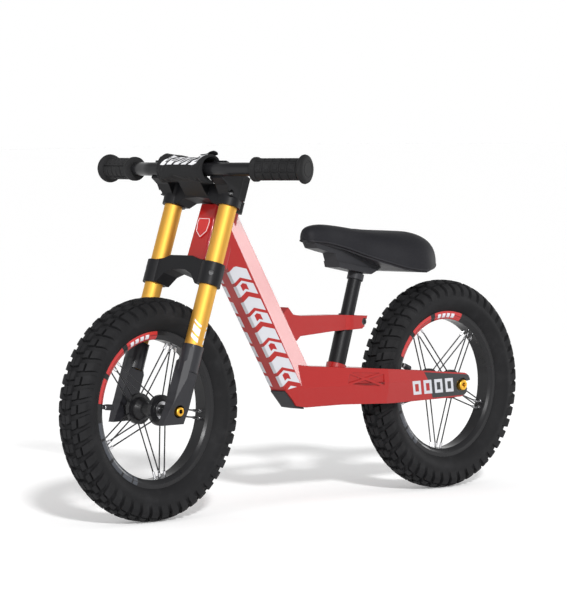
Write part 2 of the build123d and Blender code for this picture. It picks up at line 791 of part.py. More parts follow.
clamp_back = bar_reach - 4.5
with BuildPart() as upper_crown:
    for side in (1, -1):
        with BuildSketch(fork.offset(upper_crown_bottom)):
            with Locations((0, side * stanchion_y)):
                Circle(collar_radius)
        extrude(amount=upper_crown_top - upper_crown_bottom)
        # Arm from the collar to the bar, with a half-round cradle behind the bar.
        with BuildSketch(fork_side.offset(-side * cradle_inner_y)):
            with BuildLine():
                Polyline(
                    (-13, upper_crown_top), (bar_reach - 4, bar_height + cradle_radius),
                    (bar_reach, bar_height + cradle_radius), (bar_reach, bar_height - cradle_radius),
                    (26, 318.5), (14, 306.5), (-13, 306.5), close=True,
                )
            make_face()
        extrude(amount=-side * (stanchion_y + collar_radius - cradle_inner_y - 0.1))
    with BuildSketch(fork_front.offset(-bridge_back)):
        with BuildLine():
            Polyline(
                (0, upper_bridge_bottom), (24, upper_bridge_bottom - 1.5), (37, upper_crown_bottom + 1.0),
                (stanchion_y, upper_crown_bottom + 1.0), (stanchion_y, upper_crown_top - 4),
                (44, upper_crown_top - 6), (30, upper_bridge_top + 3), (0, upper_bridge_top),
                close=True,
            )
        make_face()
        mirror(about=Plane.YZ)
    extrude(amount=bridge_back + bridge_front)
    with BuildSketch(fork.offset(upper_bridge_bottom)):
        with Locations((-steering_offset / 2 - boss_back / 2, 0)):
            RectangleRounded(steering_offset + boss_back, 2 * boss_half_width + 2, 4)
    extrude(amount=upper_bridge_height)
    # Central stem up to the bar.
    with BuildSketch(fork_side):
        with BuildLine():
            Polyline(
                (-12, upper_bridge_bottom), (11, upper_bridge_bottom), (clamp_back + 0.5, bar_height - 14),
                (clamp_back, bar_height - 3), (clamp_back - 5, bar_height - 2), (-10, upper_bridge_top),
                close=True,
            )
        make_face()
    extrude(amount=clamp_half_width, both=True)
    with BuildSketch(fork_side):
        with Locations((bar_reach, bar_height)):
            Circle(clamp_radius)
        with Locations((bar_reach - 2.2, bar_height)):
            Rectangle(4.6, 2 * clamp_ear)
        with Locations((bar_reach + 49.9, bar_height)):
            Rectangle(100, 60, mode=Mode.SUBTRACT)
    extrude(amount=clamp_half_width, both=True)
    # Bores: bar, steerer, stanchions and the clamp bolts.
    with BuildSketch(fork_side):
        with Locations((bar_reach, bar_height)):
            Circle(bar_radius + running_gap)
    extrude(amount=90, both=True, mode=Mode.SUBTRACT)
    with BuildSketch(fork.offset(upper_bridge_bottom - 1)):
        with Locations(steer_centre):
            Circle(steerer_radius + press_gap)
    extrude(amount=40, mode=Mode.SUBTRACT)
    with Locations(*stanchion_places(upper_crown_bottom - 1)):
        Cylinder(stanchion_radius + press_gap, stanchion_top - upper_crown_bottom + 1,
                 align=base_align, mode=Mode.SUBTRACT)
    with Locations(*screw_places):
        Cylinder(screw_radius + running_gap, 12.0, align=base_align, mode=Mode.SUBTRACT)
    for side in (1, -1):
        for level in (1, -1):
            with BuildSketch(fork_front.offset(clamp_back - 14)):
                with Locations((side * clamp_bolt_y, bar_height + level * clamp_bolt_offset)):
                    Circle(clamp_bolt_radius + running_gap)
            extrude(amount=30, mode=Mode.SUBTRACT)
save(upper_crown, "upper_crown")

with BuildPart() as bar_cap:
    with BuildSketch(fork_side):
        with Locations((bar_reach, bar_height)):
            Circle(clamp_radius)
        with Locations((bar_reach + 2.4, bar_height)):
            Rectangle(4.6, 2 * clamp_ear)
        with Locations((bar_reach - 49.9, bar_height)):
            Rectangle(100, 60, mode=Mode.SUBTRACT)
        with Locations((bar_reach, bar_height)):
            Circle(bar_radius + running_gap, mode=Mode.SUBTRACT)
    extrude(amount=clamp_half_width, both=True)
    for side in (1, -1):
        for level in (1, -1):
            with BuildSketch(fork_front.offset(bar_reach - 10)):
                with Locations((side * clamp_bolt_y, bar_height + level * clamp_bolt_offset)):
                    Circle(clamp_bolt_radius + running_gap)
            extrude(amount=30, mode=Mode.SUBTRACT)
            with BuildSketch(fork_front.offset(bar_reach + 4.7)):
                with Locations((side * clamp_bolt_y, bar_height + level * clamp_bolt_offset)):
                    Circle(clamp_bolt_radius + 1.35)
            extrude(amount=20, mode=Mode.SUBTRACT)
save(bar_cap, "bar_cap")

with BuildPart() as bar_cap_bolts:
    for side in (1, -1):
        for level in (1, -1):
            place = (side * clamp_bolt_y, bar_height + level * clamp_bolt_offset)
            with BuildSketch(fork_front.offset(clamp_back)):
                with Locations(place):
                    Circle(clamp_bolt_radius)
            extrude(amount=bar_reach + 4.7 - clamp_back)
            with BuildSketch(fork_front.offset(bar_reach + 4.7)):
                with Locations(place):
                    Circle(clamp_bolt_radius + 1.0)
            extrude(amount=1.4)
            with BuildSketch(fork_front.offset(bar_reach + 6.1)):
                with Locations(place):
                    RegularPolygon(1.5, 6)
            extrude(amount=-1.0, mode=Mode.SUBTRACT)
save(bar_cap_bolts, "bar_cap_bolts")

with BuildPart() as crown_screws:
    with Locations(*screw_places):
        Cylinder(screw_radius, collar_radius - stanchion_radius - 1.2, align=base_align)
    for plane in screw_planes():
        with BuildSketch(plane.offset(collar_radius - stanchion_radius - 1.2)):
            RegularPolygon(1.9, 6)
        extrude(amount=-1.4, mode=Mode.SUBTRACT)
save(crown_screws, "crown_screws")

for side_name, side in (("left", 1), ("right", -1)):
    with BuildPart() as stanchion:
        with BuildSketch(fork.offset(stanchion_foot)):
            with Locations((0, side * stanchion_y)):
                Circle(stanchion_radius)
                Circle(stanchion_radius - stanchion_wall, mode=Mode.SUBTRACT)
        extrude(amount=stanchion_top - stanchion_foot)
    save(stanchion, f"{side_name}_stanchion")

    with BuildPart() as leg:
        with BuildSketch(fork.offset(stanchion_foot)):
            with Locations((0, side * stanchion_y)):
                Circle(stanchion_radius + leg_shell_wall)
        extrude(amount=leg_top - stanchion_foot)
        # The shell is open at the back of the tube above the notch.
        with BuildSketch(fork_side.offset(-side * stanchion_y)):
            with BuildLine():
                Polyline((-30, leg_notch - 6), (-9.5, leg_notch), (-9.5, leg_top + 5), (-30, leg_top + 5),
                         close=True)
            make_face()
        extrude(amount=30, both=True, mode=Mode.SUBTRACT)
        with BuildSketch(fork_side.offset(-side * leg_inner_y)):
            with BuildLine():
                Polyline(
                    (-14.6, leg_notch - 12), (-14.8, 6), (-16.5, -40), (20, -40), (18, -14), (15.0, 10),
                    (14.8, leg_notch + 4), (4, leg_notch + 16), (-6, leg_notch + 4), close=True,
                )
            make_face()
        extrude(amount=-side * (leg_outer_y - leg_inner_y))
        # Flat foot, level with the ground.
        with BuildSketch(Plane.XY.offset(leg_ground_gap)):
            with Locations((front_x, side * stanchion_y)):
                Rectangle(120, 60)
        extrude(amount=-60, mode=Mode.SUBTRACT)
        # The outer side slopes in towards the foot, and rounds over at both edges.
        with BuildSketch(fork_front.offset(-40)):
            with BuildLine():
                Polyline(
                    (side * (leg_outer_y + 8), 92), (side * (leg_outer_y - 1.0), 40),
                    (side * (leg_seat_y + 1.5), -30), (side * (leg_outer_y + 8), -60), close=True,
                )
            make_face()
        extrude(amount=80, mode=Mode.SUBTRACT)
        for edge_sign in (1, -1):
            with BuildSketch(fork.offset(-45)):
                with BuildLine():
                    Polyline(
                        (edge_sign * 4, side * (leg_outer_y + 4)), (edge_sign * 24, side * (leg_outer_y + 4)),
                        (edge_sign * 24, side * (leg_inner_y + 7)), close=True,
                    )
                make_face()
            extrude(amount=leg_notch + 70, mode=Mode.SUBTRACT)
        # Tube bore, axle bore and the pocket around the axle cap.
        with BuildSketch(fork.offset(stanchion_foot)):
            with Locations((0, side * stanchion_y)):
                Circle(stanchion_radius + press_gap)
        extrude(amount=leg_top - stanchion_foot + 10, mode=Mode.SUBTRACT)
        with BuildSketch(cross_axis(front_x, axle_z, side * (leg_inner_y - 5))):
            Circle(axle_radius + running_gap)
        extrude(amount=side * 30, mode=Mode.SUBTRACT)
        with BuildSketch(cross_axis(front_x, axle_z, side * leg_seat_y)):
            Circle(front_cap_radius + 2.4)
        extrude(amount=side * 30, mode=Mode.SUBTRACT)
    save(leg, f"{side_name}_fork_leg")

# ---------------------------------------------------------------- handlebar
grip_planes = {}
sweep_cos = cos(radians(bar_sweep))
sweep_sin = sin(radians(bar_sweep))
bar_end_x = bar_centre.X - (bar_end_y - bar_straight_y) * tan(radians(bar_sweep))
for side_name, side in (("left", 1), ("right", -1)):
    grip_planes[side_name] = Plane(
        origin=(bar_end_x, side * bar_end_y, bar_centre.Z),
        x_dir=(0, 0, 1),
        z_dir=(-sweep_sin, side * sweep_cos, 0),
    )

tube_end_x = bar_end_x + grip_end_wall * sweep_sin
tube_end_y = bar_end_y - grip_end_wall * sweep_cos
with BuildPart() as handlebar:
    with BuildLine() as bar_path:
        FilletPolyline(
            (tube_end_x, -tube_end_y, bar_centre.Z),
            (bar_centre.X, -bar_straight_y, bar_centre.Z),
            (bar_centre.X, bar_straight_y, bar_centre.Z),
            (tube_end_x, tube_end_y, bar_centre.Z),
            radius=bar_bend_radius,
        )
    start_direction = bar_path.line % 0
    with BuildSketch(Plane(origin=bar_path.line @ 0, z_dir=start_direction)):
        Circle(bar_radius)
        Circle(bar_radius - bar_wall, mode=Mode.SUBTRACT)
    sweep()
save(handlebar, "handlebar")

for side_name, plane in grip_planes.items():
    profile = Plane(origin=plane.origin, x_dir=plane.x_dir, z_dir=plane.x_dir.cross(plane.z_dir))
    run = 1 if profile.y_dir.dot(plane.z_dir) > 0 else -1
    with BuildPart() as grip:
        with BuildSketch(profile):
            with BuildLine():
                Polyline(
                    (0, -run * grip_end_wall),
                    (0, 0),
                    (grip_end_radius - 6, 0),
                    (grip_end_radius - 1.4, -run * 1.8),
                    (grip_end_radius, -run * 4.4),
                    (grip_end_radius - 0.6, -run * 7.4),
                    (grip_radius, -run * 11),
                    (grip_radius, -run * (grip_length - 8)),
                    (grip_flange_radius, -run * (grip_length - 6.5)),
                    (grip_flange_radius, -run * (grip_length - 1)),
                    (grip_flange_radius - 1, -run * grip_length),
                    (bar_radius + press_gap, -run * grip_length),
                    (bar_radius + press_gap, -run * grip_end_wall),
                    close=True,
                )
            make_face()
        revolve(axis=Axis(plane.origin, plane.z_dir))
    save(grip, f"{side_name}_grip")

with BuildPart() as handlebar_pad:
    with BuildSketch(fork_side):
        with Locations((bar_reach, bar_height)):
            Circle(pad_radius)
            Circle(pad_radius - pad_wall, mode=Mode.SUBTRACT)
        # Opening at the back, where the stem passes.
        with BuildLine():
            Polyline(
                (bar_reach, bar_height), (bar_reach - 40, bar_height - 4), (bar_reach - 40, bar_height - 40),
                (bar_reach - 8, bar_height - 40), close=True,
            )
        make_face(mode=Mode.SUBTRACT)
    extrude(amount=pad_half_length, both=True)
save(handlebar_pad, "handlebar_pad")

# ---------------------------------------------------------------- saddle
with BuildPart() as seat_post:
    with BuildSketch(seat.offset(post_foot)):
        Circle(post_radius)
        Circle(post_radius - post_wall, mode=Mode.SUBTRACT)
    extrude(amount=post_top - post_foot)
save(seat_post, "seat_post")

# Stations along the saddle: x, half width, lowest z and highest z of the cover.
saddle_stations = (
    (-12, 8, 378.0, 391.0),
    (-24, 16, 376.5, 398.0),
    (-42, 20.5, 374.0, 400.0),
    (-75, 23.5, 366.0, 396.5),
    (-110, 32, 354.0, 391.5),
    (-140, 48, 343.0, 389.0),
    (-170, 63, 333.0, 388.0),
    (-200, 69, 329.5, 386.5),
    (-222, 62, 334.0, 381.0),
    (-236, 44, 345.0, 371.0),
)
with BuildPart() as saddle_cover:
    for x, half, low, high in saddle_stations:
        with BuildSketch(Plane(origin=(x, 0, 0), x_dir=(0, 1, 0), z_dir=(1, 0, 0))):
            with BuildLine():
                Line((-half, low), (half, low))
                ThreePointArc((half, low), (half * 0.78, low + (high - low) * 0.72), (0, high))
                ThreePointArc((0, high), (-half * 0.78, low + (high - low) * 0.72), (-half, low))
            make_face()
    loft(ruled=True)
save(saddle_cover, "saddle_cover")

with BuildPart() as saddle_base:
    for x, half, low, high in saddle_stations:
        with BuildSketch(Plane(origin=(x, 0, 0), x_dir=(0, 1, 0), z_dir=(1, 0, 0))):
            with BuildLine():
                Polyline(
                    (-half + 3, low), (half - 3, low), (half - 5, low - saddle_pan),
                    (-half + 5, low - saddle_pan), close=True,
                )
            make_face()
    loft(ruled=True)
    # Keel that carries the post bracket.
    with BuildSketch(Plane.XZ):
        with BuildLine():
            Polyline(
                (-20, 376), (-26, 366), (-47, 360.5), (-62, 357), (-66, 346), (-150, 330.5),
                (-160, 334.5), (-150, 339), (-110, 353), (-75, 365), (-42, 373), close=True,
            )
        make_face()
    extrude(amount=13, both=True)
    add(saddle_cover.part, mode=Mode.SUBTRACT)
    with BuildSketch(seat.offset(110)):
        Circle(post_radius + running_gap)
    extrude(amount=post_top - 110, mode=Mode.SUBTRACT)
save(saddle_base, "saddle_base")

with BuildPart() as saddle_bracket:
    with BuildSketch(Plane.XZ):
        with BuildLine():
            Polyline(
                (-66, 346), (-68.3, 337.0), (-134, 324.5), (-150, 330.5), close=True,
            )
        make_face()
    extrude(amount=15, both=True)
    with BuildSketch(seat.offset(100)):
        Circle(post_radius + running_gap)
    extrude(amount=80, mode=Mode.SUBTRACT)
save(saddle_bracket, "saddle_bracket")

with BuildPart() as post_collar:
    with BuildSketch(seat.offset(post_top - 8 - post_collar_length - 5)):
        Circle(post_radius + post_collar_wall)
        Circle(post_radius + running_gap, mode=Mode.SUBTRACT)
    extrude(amount=post_collar_length)
    add(saddle_bracket.part, mode=Mode.SUBTRACT)
save(post_collar, "post_collar")
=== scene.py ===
"""Looks of a child's balance bike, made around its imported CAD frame.

Units are metres in the frame of the CAD: X forward, Y to the rider's left, Z up.
"""

from __future__ import annotations

import logging
import math
from dataclasses import dataclass, field
from enum import Enum
from typing import Any

import bpy
import numpy as np
from mathutils import Matrix, Vector


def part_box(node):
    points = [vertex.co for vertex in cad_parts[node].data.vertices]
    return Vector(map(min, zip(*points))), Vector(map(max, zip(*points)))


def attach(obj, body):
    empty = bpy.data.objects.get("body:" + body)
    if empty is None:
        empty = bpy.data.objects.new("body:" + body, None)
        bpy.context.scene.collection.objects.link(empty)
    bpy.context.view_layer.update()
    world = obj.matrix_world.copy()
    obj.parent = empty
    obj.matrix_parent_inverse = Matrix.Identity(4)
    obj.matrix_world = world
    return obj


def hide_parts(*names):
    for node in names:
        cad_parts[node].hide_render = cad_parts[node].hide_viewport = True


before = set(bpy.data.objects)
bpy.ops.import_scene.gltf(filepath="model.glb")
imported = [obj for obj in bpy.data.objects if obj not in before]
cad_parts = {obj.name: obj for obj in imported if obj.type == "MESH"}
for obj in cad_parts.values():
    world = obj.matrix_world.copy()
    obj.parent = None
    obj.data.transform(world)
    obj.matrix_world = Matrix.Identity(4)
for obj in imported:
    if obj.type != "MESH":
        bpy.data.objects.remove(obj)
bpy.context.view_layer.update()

log = logging.getLogger("balance_bike")

MM = 0.001
FULL_TURN = 2 * math.pi
RGB = tuple[float, float, float]
SPAN = tuple[float, float]
PRINT_EDGE = 0.0002  # softness of a printed edge
MIX_FIRST, MIX_SECOND, MIX_RESULT = 6, 7, 2  # colour sockets of the Mix node
CLOTH_FRAMES = 20
TINY = 1e-9


# ---------------------------------------------------------------- shader writing
class Wire:
    """A shader socket on which maths is written as a Python expression."""

    def __init__(self, sheet: Shader, socket: bpy.types.NodeSocket) -> None:
        """Keeps the socket and the shader that it belongs to."""
        self.sheet = sheet
        self.socket = socket

    def _math(self, operation: str, *values: Any) -> Wire:
        """Adds one Math node with this wire first and the values after it."""
        return self.sheet.node("ShaderNodeMath", {"operation": operation}, {
            i: v for i, v in enumerate((self, *values))
        })

    def _reflected(self, operation: str, value: Any) -> Wire:
        """Adds one Math node with the value first and this wire after it."""
        return self.sheet.node("ShaderNodeMath", {"operation": operation}, {0: value, 1: self})

    def __add__(self, other: Any) -> Wire:
        """Sum."""
        return self._math("ADD", other)

    def __sub__(self, other: Any) -> Wire:
        """Difference."""
        return self._math("SUBTRACT", other)

    def __mul__(self, other: Any) -> Wire:
        """Product."""
        return self._math("MULTIPLY", other)

    def __radd__(self, other: Any) -> Wire:
        """Reflected sum."""
        return self._reflected("ADD", other)

    def __rsub__(self, other: Any) -> Wire:
        """Reflected difference."""
        return self._reflected("SUBTRACT", other)

    def __rmul__(self, other: Any) -> Wire:
        """Reflected product."""
        return self._reflected("MULTIPLY", other)

    def __abs__(self) -> Wire:
        """Absolute value."""
        return self._math("ABSOLUTE")

    def at_least(self, other: Any) -> Wire:
        """The larger of the two."""
        return self._math("MAXIMUM", other)

    def wave(self) -> Wire:
        """Sine."""
        return self._math("SINE")

    def cycle(self, period: float) -> Wire:
        """Remainder from 0 to the period, also for numbers below zero."""
        return self._math("WRAP", period, 0.0)

    def rise(self, low: float, high: float) -> Wire:
        """0 below low and 1 above high, with a smooth step between them."""
        return self.sheet.node(
            "ShaderNodeMapRange",
            {"interpolation_type": "SMOOTHSTEP"},
            {"Value": self, "From Min": low, "From Max": high},
        )

    def between(self, low: float, high: float, soft: float) -> Wire:
        """1 from low to high and 0 outside, with edges as wide as soft."""
        return self.rise(low - soft, low + soft) * (1 - self.rise(high - soft, high + soft))


class Shader:
    """A material whose nodes are written by one method, with a few common patterns on top."""

    def __init__(self, name: str) -> None:
        """Starts a material with a Principled shader and its output."""
        self.material = bpy.data.materials.new(name)
        self.material.use_nodes = True
        self.tree = self.material.node_tree
        self.principled = next(n for n in self.tree.nodes if n.type == "BSDF_PRINCIPLED")

    def node(self, kind: str, settings: dict[str, Any], sockets: dict[Any, Any],
             output: int | str = 0) -> Wire:
        """Adds a node.

        Args:
            kind: The node's type.
            settings: Properties that are set first, such as a Math node's operation.
            sockets: Values, wires or colours of its inputs, by name or number.
            output: Which of its outputs to give back.

        Returns:
            The output as a wire.
        """
        made = self.tree.nodes.new(kind)
        for key, value in settings.items():
            setattr(made, key, value)
        for key, value in sockets.items():
            self.join(made.inputs[key], value)
        return Wire(self, made.outputs[output])

    def join(self, socket: bpy.types.NodeSocket, value: Any) -> None:
        """Links a wire to the socket, or sets the socket's own value.

        Args:
            socket: The input.
            value: A wire, a number, a vector, or a colour of three numbers.
        """
        if isinstance(value, Wire):
            self.tree.links.new(value.socket, socket)
        elif isinstance(value, tuple) and len(socket.default_value) == 4 and len(value) == 3:
            socket.default_value = (*value, 1.0)
        else:
            socket.default_value = value

    def place(self) -> Wire:
        """Object coordinates."""
        return self.node("ShaderNodeTexCoord", {}, {}, "Object")

    def axes(self) -> tuple[Wire, Wire, Wire]:
        """The three components of Object coordinates, in metres."""
        split = self.node("ShaderNodeSeparateXYZ", {}, {0: self.place()}).socket.node
        return tuple(Wire(self, split.outputs[i]) for i in range(3))

    def noise(self, scale: float, detail: float = 3.0, rough: float = 0.55,
              place: Wire | None = None) -> Wire:
        """Noise from 0 to 1 on Object coordinates."""
        return self.node("ShaderNodeTexNoise", {}, {
            "Vector": place or self.place(), "Scale": scale, "Detail": detail, "Roughness": rough,
        }, "Fac")

    def cells(self, scale: float) -> Wire:
        """Distance to the nearest edge in a cell texture on Object coordinates."""
        return self.node("ShaderNodeTexVoronoi", {"feature": "DISTANCE_TO_EDGE"},
                         {"Vector": self.place(), "Scale": scale}, "Distance")

    def mix(self, share: Any, first: Any, second: Any) -> Wire:
        """Colour mix from first, at share 0, to second, at share 1.

        Args:
            share: Number or wire from 0 to 1.
            first: Colour or wire at 0.
            second: Colour or wire at 1.

        Returns:
            The mixed colour.
        """
        made = self.node("ShaderNodeMix", {"data_type": "RGBA"}, {0: share}).socket.node
        self.join(made.inputs[MIX_FIRST], first)
        self.join(made.inputs[MIX_SECOND], second)
        return Wire(self, made.outputs[MIX_RESULT])

    def bump(self, height: Wire, depth: float, strength: float = 1.0,
             edge: float = 0.0) -> None:
        """Feeds Normal from a height pattern.

        Args:
            height: The pattern, from 0 to 1.
            depth: The height of 1, in metres.
            strength: Share of the bump that shows.
            edge: Radius that sharp edges are softened by, in metres; 0 leaves them.
        """
        sockets: dict[str, Any] = {"Height": height, "Distance": depth, "Strength": strength}
        if edge:
            sockets["Normal"] = self.node("ShaderNodeBevel", {"samples": 4}, {"Radius": edge})
        self.join(self.principled.inputs["Normal"], self.node("ShaderNodeBump", {}, sockets))

    def finish(self, **sockets: Any) -> bpy.types.Material:
        """Sets the Principled sockets, named with _ for a blank, and gives the material."""
        for key, value in sockets.items():
            self.join(self.principled.inputs[key.replace("_", " ")], value)
        return self.material


# ---------------------------------------------------------------- finishes
@dataclass(frozen=True)
class Coating:
    """Plain paint, lacquer or moulded plastic, with a fine surface and slight unevenness."""

    name: str
    colour: RGB
    roughness: float
    metallic: float = 0.0
    coat: float = 0.0
    grain: float = 900.0
    grain_depth: float = 0.00006
    uneven: float = 0.12
    edge: float = 0.0008
    specular: float = 0.16
    # key sockets: radius, soft edge and colour of a near-black disc of painted shade
    socket: float = 0.0
    socket_edge: SPAN = (0.94, 1.06)
    socket_shade_colour: RGB = (0.006, 0.006, 0.007)
    axles: tuple[SPAN, ...] = ()
    patch_scale: float = 22.0
    rough_from: float = 0.88
    rough_span: float = 0.24
    coat_roughness: float = 0.08
    metal_specular: float = 0.5

    def socket_shade_mask(self, s: Shader) -> Wire:
        """1 inside the key sockets, where a near-black disc of painted shade stands for the dark
        inside the hole: where the distance to an axle, in X and Z, is under socket.

        Args:
            s: The shader that it is written on.

        Returns:
            The mask, with a soft edge between the two shares of socket in socket_edge.
        """
        x, _, z = s.axes()
        inner, outer = ((self.socket * share) ** 2 for share in self.socket_edge)
        masks = [1 - ((x - ax) * (x - ax) + (z - az) * (z - az)).rise(inner, outer)
                 for ax, az in self.axles]
        return masks[0].at_least(masks[1])

    def material(self) -> bpy.types.Material:
        """Colour and roughness vary with a broad noise; a fine noise gives the bump; painted shade
        darkens the key sockets.
        """
        s = Shader(self.name)
        broad = s.noise(self.patch_scale, 4.0)
        deep = tuple(c * (1 - self.uneven) for c in self.colour)
        light = tuple(min(1.0, c * (1 + self.uneven)) for c in self.colour)
        s.bump(s.noise(self.grain, 2.0), self.grain_depth, 0.5, self.edge)
        colour = s.mix(broad, deep, light)
        # painted shade: a near-black disc in each key socket of the gold axle nuts, where the hole
        # would be dark
        if self.socket:
            colour = s.mix(self.socket_shade_mask(s), colour, self.socket_shade_colour)
        return s.finish(
            Base_Color=colour,
            Roughness=self.roughness * self.rough_from + broad * (self.roughness * self.rough_span),
            Metallic=self.metallic, Coat_Weight=self.coat, Coat_Roughness=self.coat_roughness,
            Specular_IOR_Level=self.metal_specular if self.metallic else self.specular,
        )


@dataclass(frozen=True)
class Rubber:
    """Matt rubber with faint mould marks and dust that settles in patches."""

    name: str
    colour: RGB
    roughness: float = 0.66
    stipple: float = 1400.0
    depth: float = 0.00012
    edge: float = 0.0005
    dust_scale: float = 36.0
    dust_from: float = 0.45
    dust_full: float = 0.8
    dust_gain: float = 1.6
    dust_lift: float = 0.002
    dust_roughness: float = 0.1
    specular: float = 0.09

    def material(self) -> bpy.types.Material:
        """A stipple bump, and a paler dust colour by a broad noise."""
        s = Shader(self.name)
        dust = s.noise(self.dust_scale, 6.0, 0.65).rise(self.dust_from, self.dust_full)
        pale = tuple(c * self.dust_gain + self.dust_lift for c in self.colour)
        s.bump(s.noise(self.stipple, 2.0), self.depth, 0.6, self.edge)
        return s.finish(
            Base_Color=s.mix(dust, self.colour, pale),
            Roughness=self.roughness + dust * self.dust_roughness,
            Specular_IOR_Level=self.specular,
        )


@dataclass(frozen=True)
class Leatherette:
    """Soft coated cover with a pebbled grain, slightly polished on its high places."""

    name: str
    colour: RGB
    pebble_scale: float = 620.0
    crease_width: float = 0.32
    crease_shade: float = 0.72
    fine_scale: float = 300.0
    grain_depth: float = 0.00014
    worn_scale: float = 14.0
    roughness: float = 0.48
    worn_roughness: float = 0.14
    specular: float = 0.12

    def material(self) -> bpy.types.Material:
        """Cell edges make the grain; a broad noise moves the polish."""
        s = Shader(self.name)
        pebble = s.cells(self.pebble_scale).rise(0.0, self.crease_width)
        worn = s.noise(self.worn_scale, 3.0)
        s.bump(pebble + s.noise(self.fine_scale) * 0.5, self.grain_depth, 0.45)
        crease = tuple(c * self.crease_shade for c in self.colour)
        return s.finish(
            Base_Color=s.mix(pebble, crease, self.colour),
            Roughness=self.roughness + worn * self.worn_roughness,
            Specular_IOR_Level=self.specular,
        )


@dataclass(frozen=True)
class Anodised:
    """Dyed aluminium tube, drawn along its length, with a mark of slanted bars on it."""

    name: str
    colour: RGB
    mark: RGB
    fork_angle: float
    axle: RGB
    tube_y: float
    bars: tuple[SPAN, ...] = ((0.1075, 0.1135), (0.1165, 0.1265), (0.1295, 0.1325))
    bar_slope: float = 0.9
    bar_side: SPAN = (0.0035, 0.0118)
    bar_front: SPAN = (-0.0105, -0.0100)
    line_fine: float = 900.0
    line_long: float = 30.0
    shade: float = 0.95
    roughness: float = 0.56
    line_roughness: float = 0.05

    def material(self) -> bpy.types.Material:
        """Fine draw lines run along the tube; the bars lie along the fork and round the tube.

        Along the tube s = dot(place - axle, up) and forward e = dot(place - axle, forward).
        """
        s = Shader(self.name)
        x, y, z = s.axes()
        c, n = math.cos(self.fork_angle), math.sin(self.fork_angle)
        dx, dz = x - self.axle[0], z - self.axle[2]
        along = dz * c - dx * n
        ahead = dx * c + dz * n
        out = abs(y) - self.tube_y
        lines = s.node("ShaderNodeCombineXYZ", {}, {
            0: ahead * self.line_fine, 1: out * self.line_fine, 2: along * self.line_long,
        })
        drawn = s.noise(1.0, 3.0, 0.6, lines)
        slant = along + out * self.bar_slope
        bar = slant.between(*self.bars[0], PRINT_EDGE)
        for low, high in self.bars[1:]:
            bar = bar.at_least(slant.between(low, high, PRINT_EDGE))
        ink = bar * out.between(*self.bar_side, PRINT_EDGE) * ahead.rise(*self.bar_front)
        s.bump(drawn, 0.000015, 0.3)
        tone = s.mix(drawn, tuple(v * self.shade for v in self.colour), self.colour)
        return s.finish(
            Base_Color=s.mix(ink, tone, self.mark),
            Metallic=1 - ink, Roughness=self.roughness + drawn * self.line_roughness,
        )


@dataclass(frozen=True)
class Weave:
    """Dull woven sleeve with a printed row of slanted bars on its upper front."""

    name: str
    colour: RGB
    print_colour: RGB
    centre: RGB
    threads_along: float = 6200.0
    threads_round: float = 115.0
    fluff_scale: float = 700.0
    # share of the colour left in the weave's hollows, as painted shade
    hollow: float = 0.55
    thread_depth: float = 0.0002
    bar_slope: float = 0.0135
    bar_pitch: float = 0.0148
    bar_width: SPAN = (0.0010, 0.0112)
    window_width: SPAN = (0.0042, 0.0080)
    window_turn: SPAN = (0.62, 1.08)
    print_turn: SPAN = (0.34, 1.36)
    print_reach: SPAN = (-0.0444, 0.0296)
    roughness: float = 0.88
    print_polish: float = 0.25
    specular: float = 0.15

    def material(self) -> bpy.types.Material:
        """Crossing sine waves, along Y and round the bar, are the threads under the print; painted
        shade darkens the hollows between them.

        A bar is a band of y less a slope times the angle round the bar, with a window in it.
        """
        s = Shader(self.name)
        x, y, z = s.axes()
        angle = s.node("ShaderNodeMath", {"operation": "ARCTAN2"},
                       {0: z - self.centre[2], 1: x - self.centre[0]})
        across = (y * self.threads_along).wave()
        around = (angle * self.threads_round).wave()
        thread = (across * around) * 0.5 + 0.5
        fluff = s.noise(self.fluff_scale, 3.0)
        slanted = y - angle * self.bar_slope
        bars = slanted.cycle(self.bar_pitch).between(*self.bar_width, 0.0003)
        window = (slanted.cycle(self.bar_pitch).between(*self.window_width, 0.0003)
                  * angle.between(*self.window_turn, 0.02))
        field_mask = (angle.between(*self.print_turn, 0.015)
                      * slanted.between(*self.print_reach, PRINT_EDGE))
        ink = bars * field_mask * (1 - window)
        s.bump(thread + fluff * 0.4, self.thread_depth, 0.6)
        # painted shade: the cloth's colour is darker where the threads' bump is low
        cloth = s.mix(thread, tuple(c * self.hollow for c in self.colour), self.colour)
        return s.finish(
            Base_Color=s.mix(ink, cloth, self.print_colour),
            Roughness=self.roughness - ink * self.print_polish,
            Sheen_Weight=0.03, Sheen_Roughness=0.5, Specular_IOR_Level=self.specular,
        )


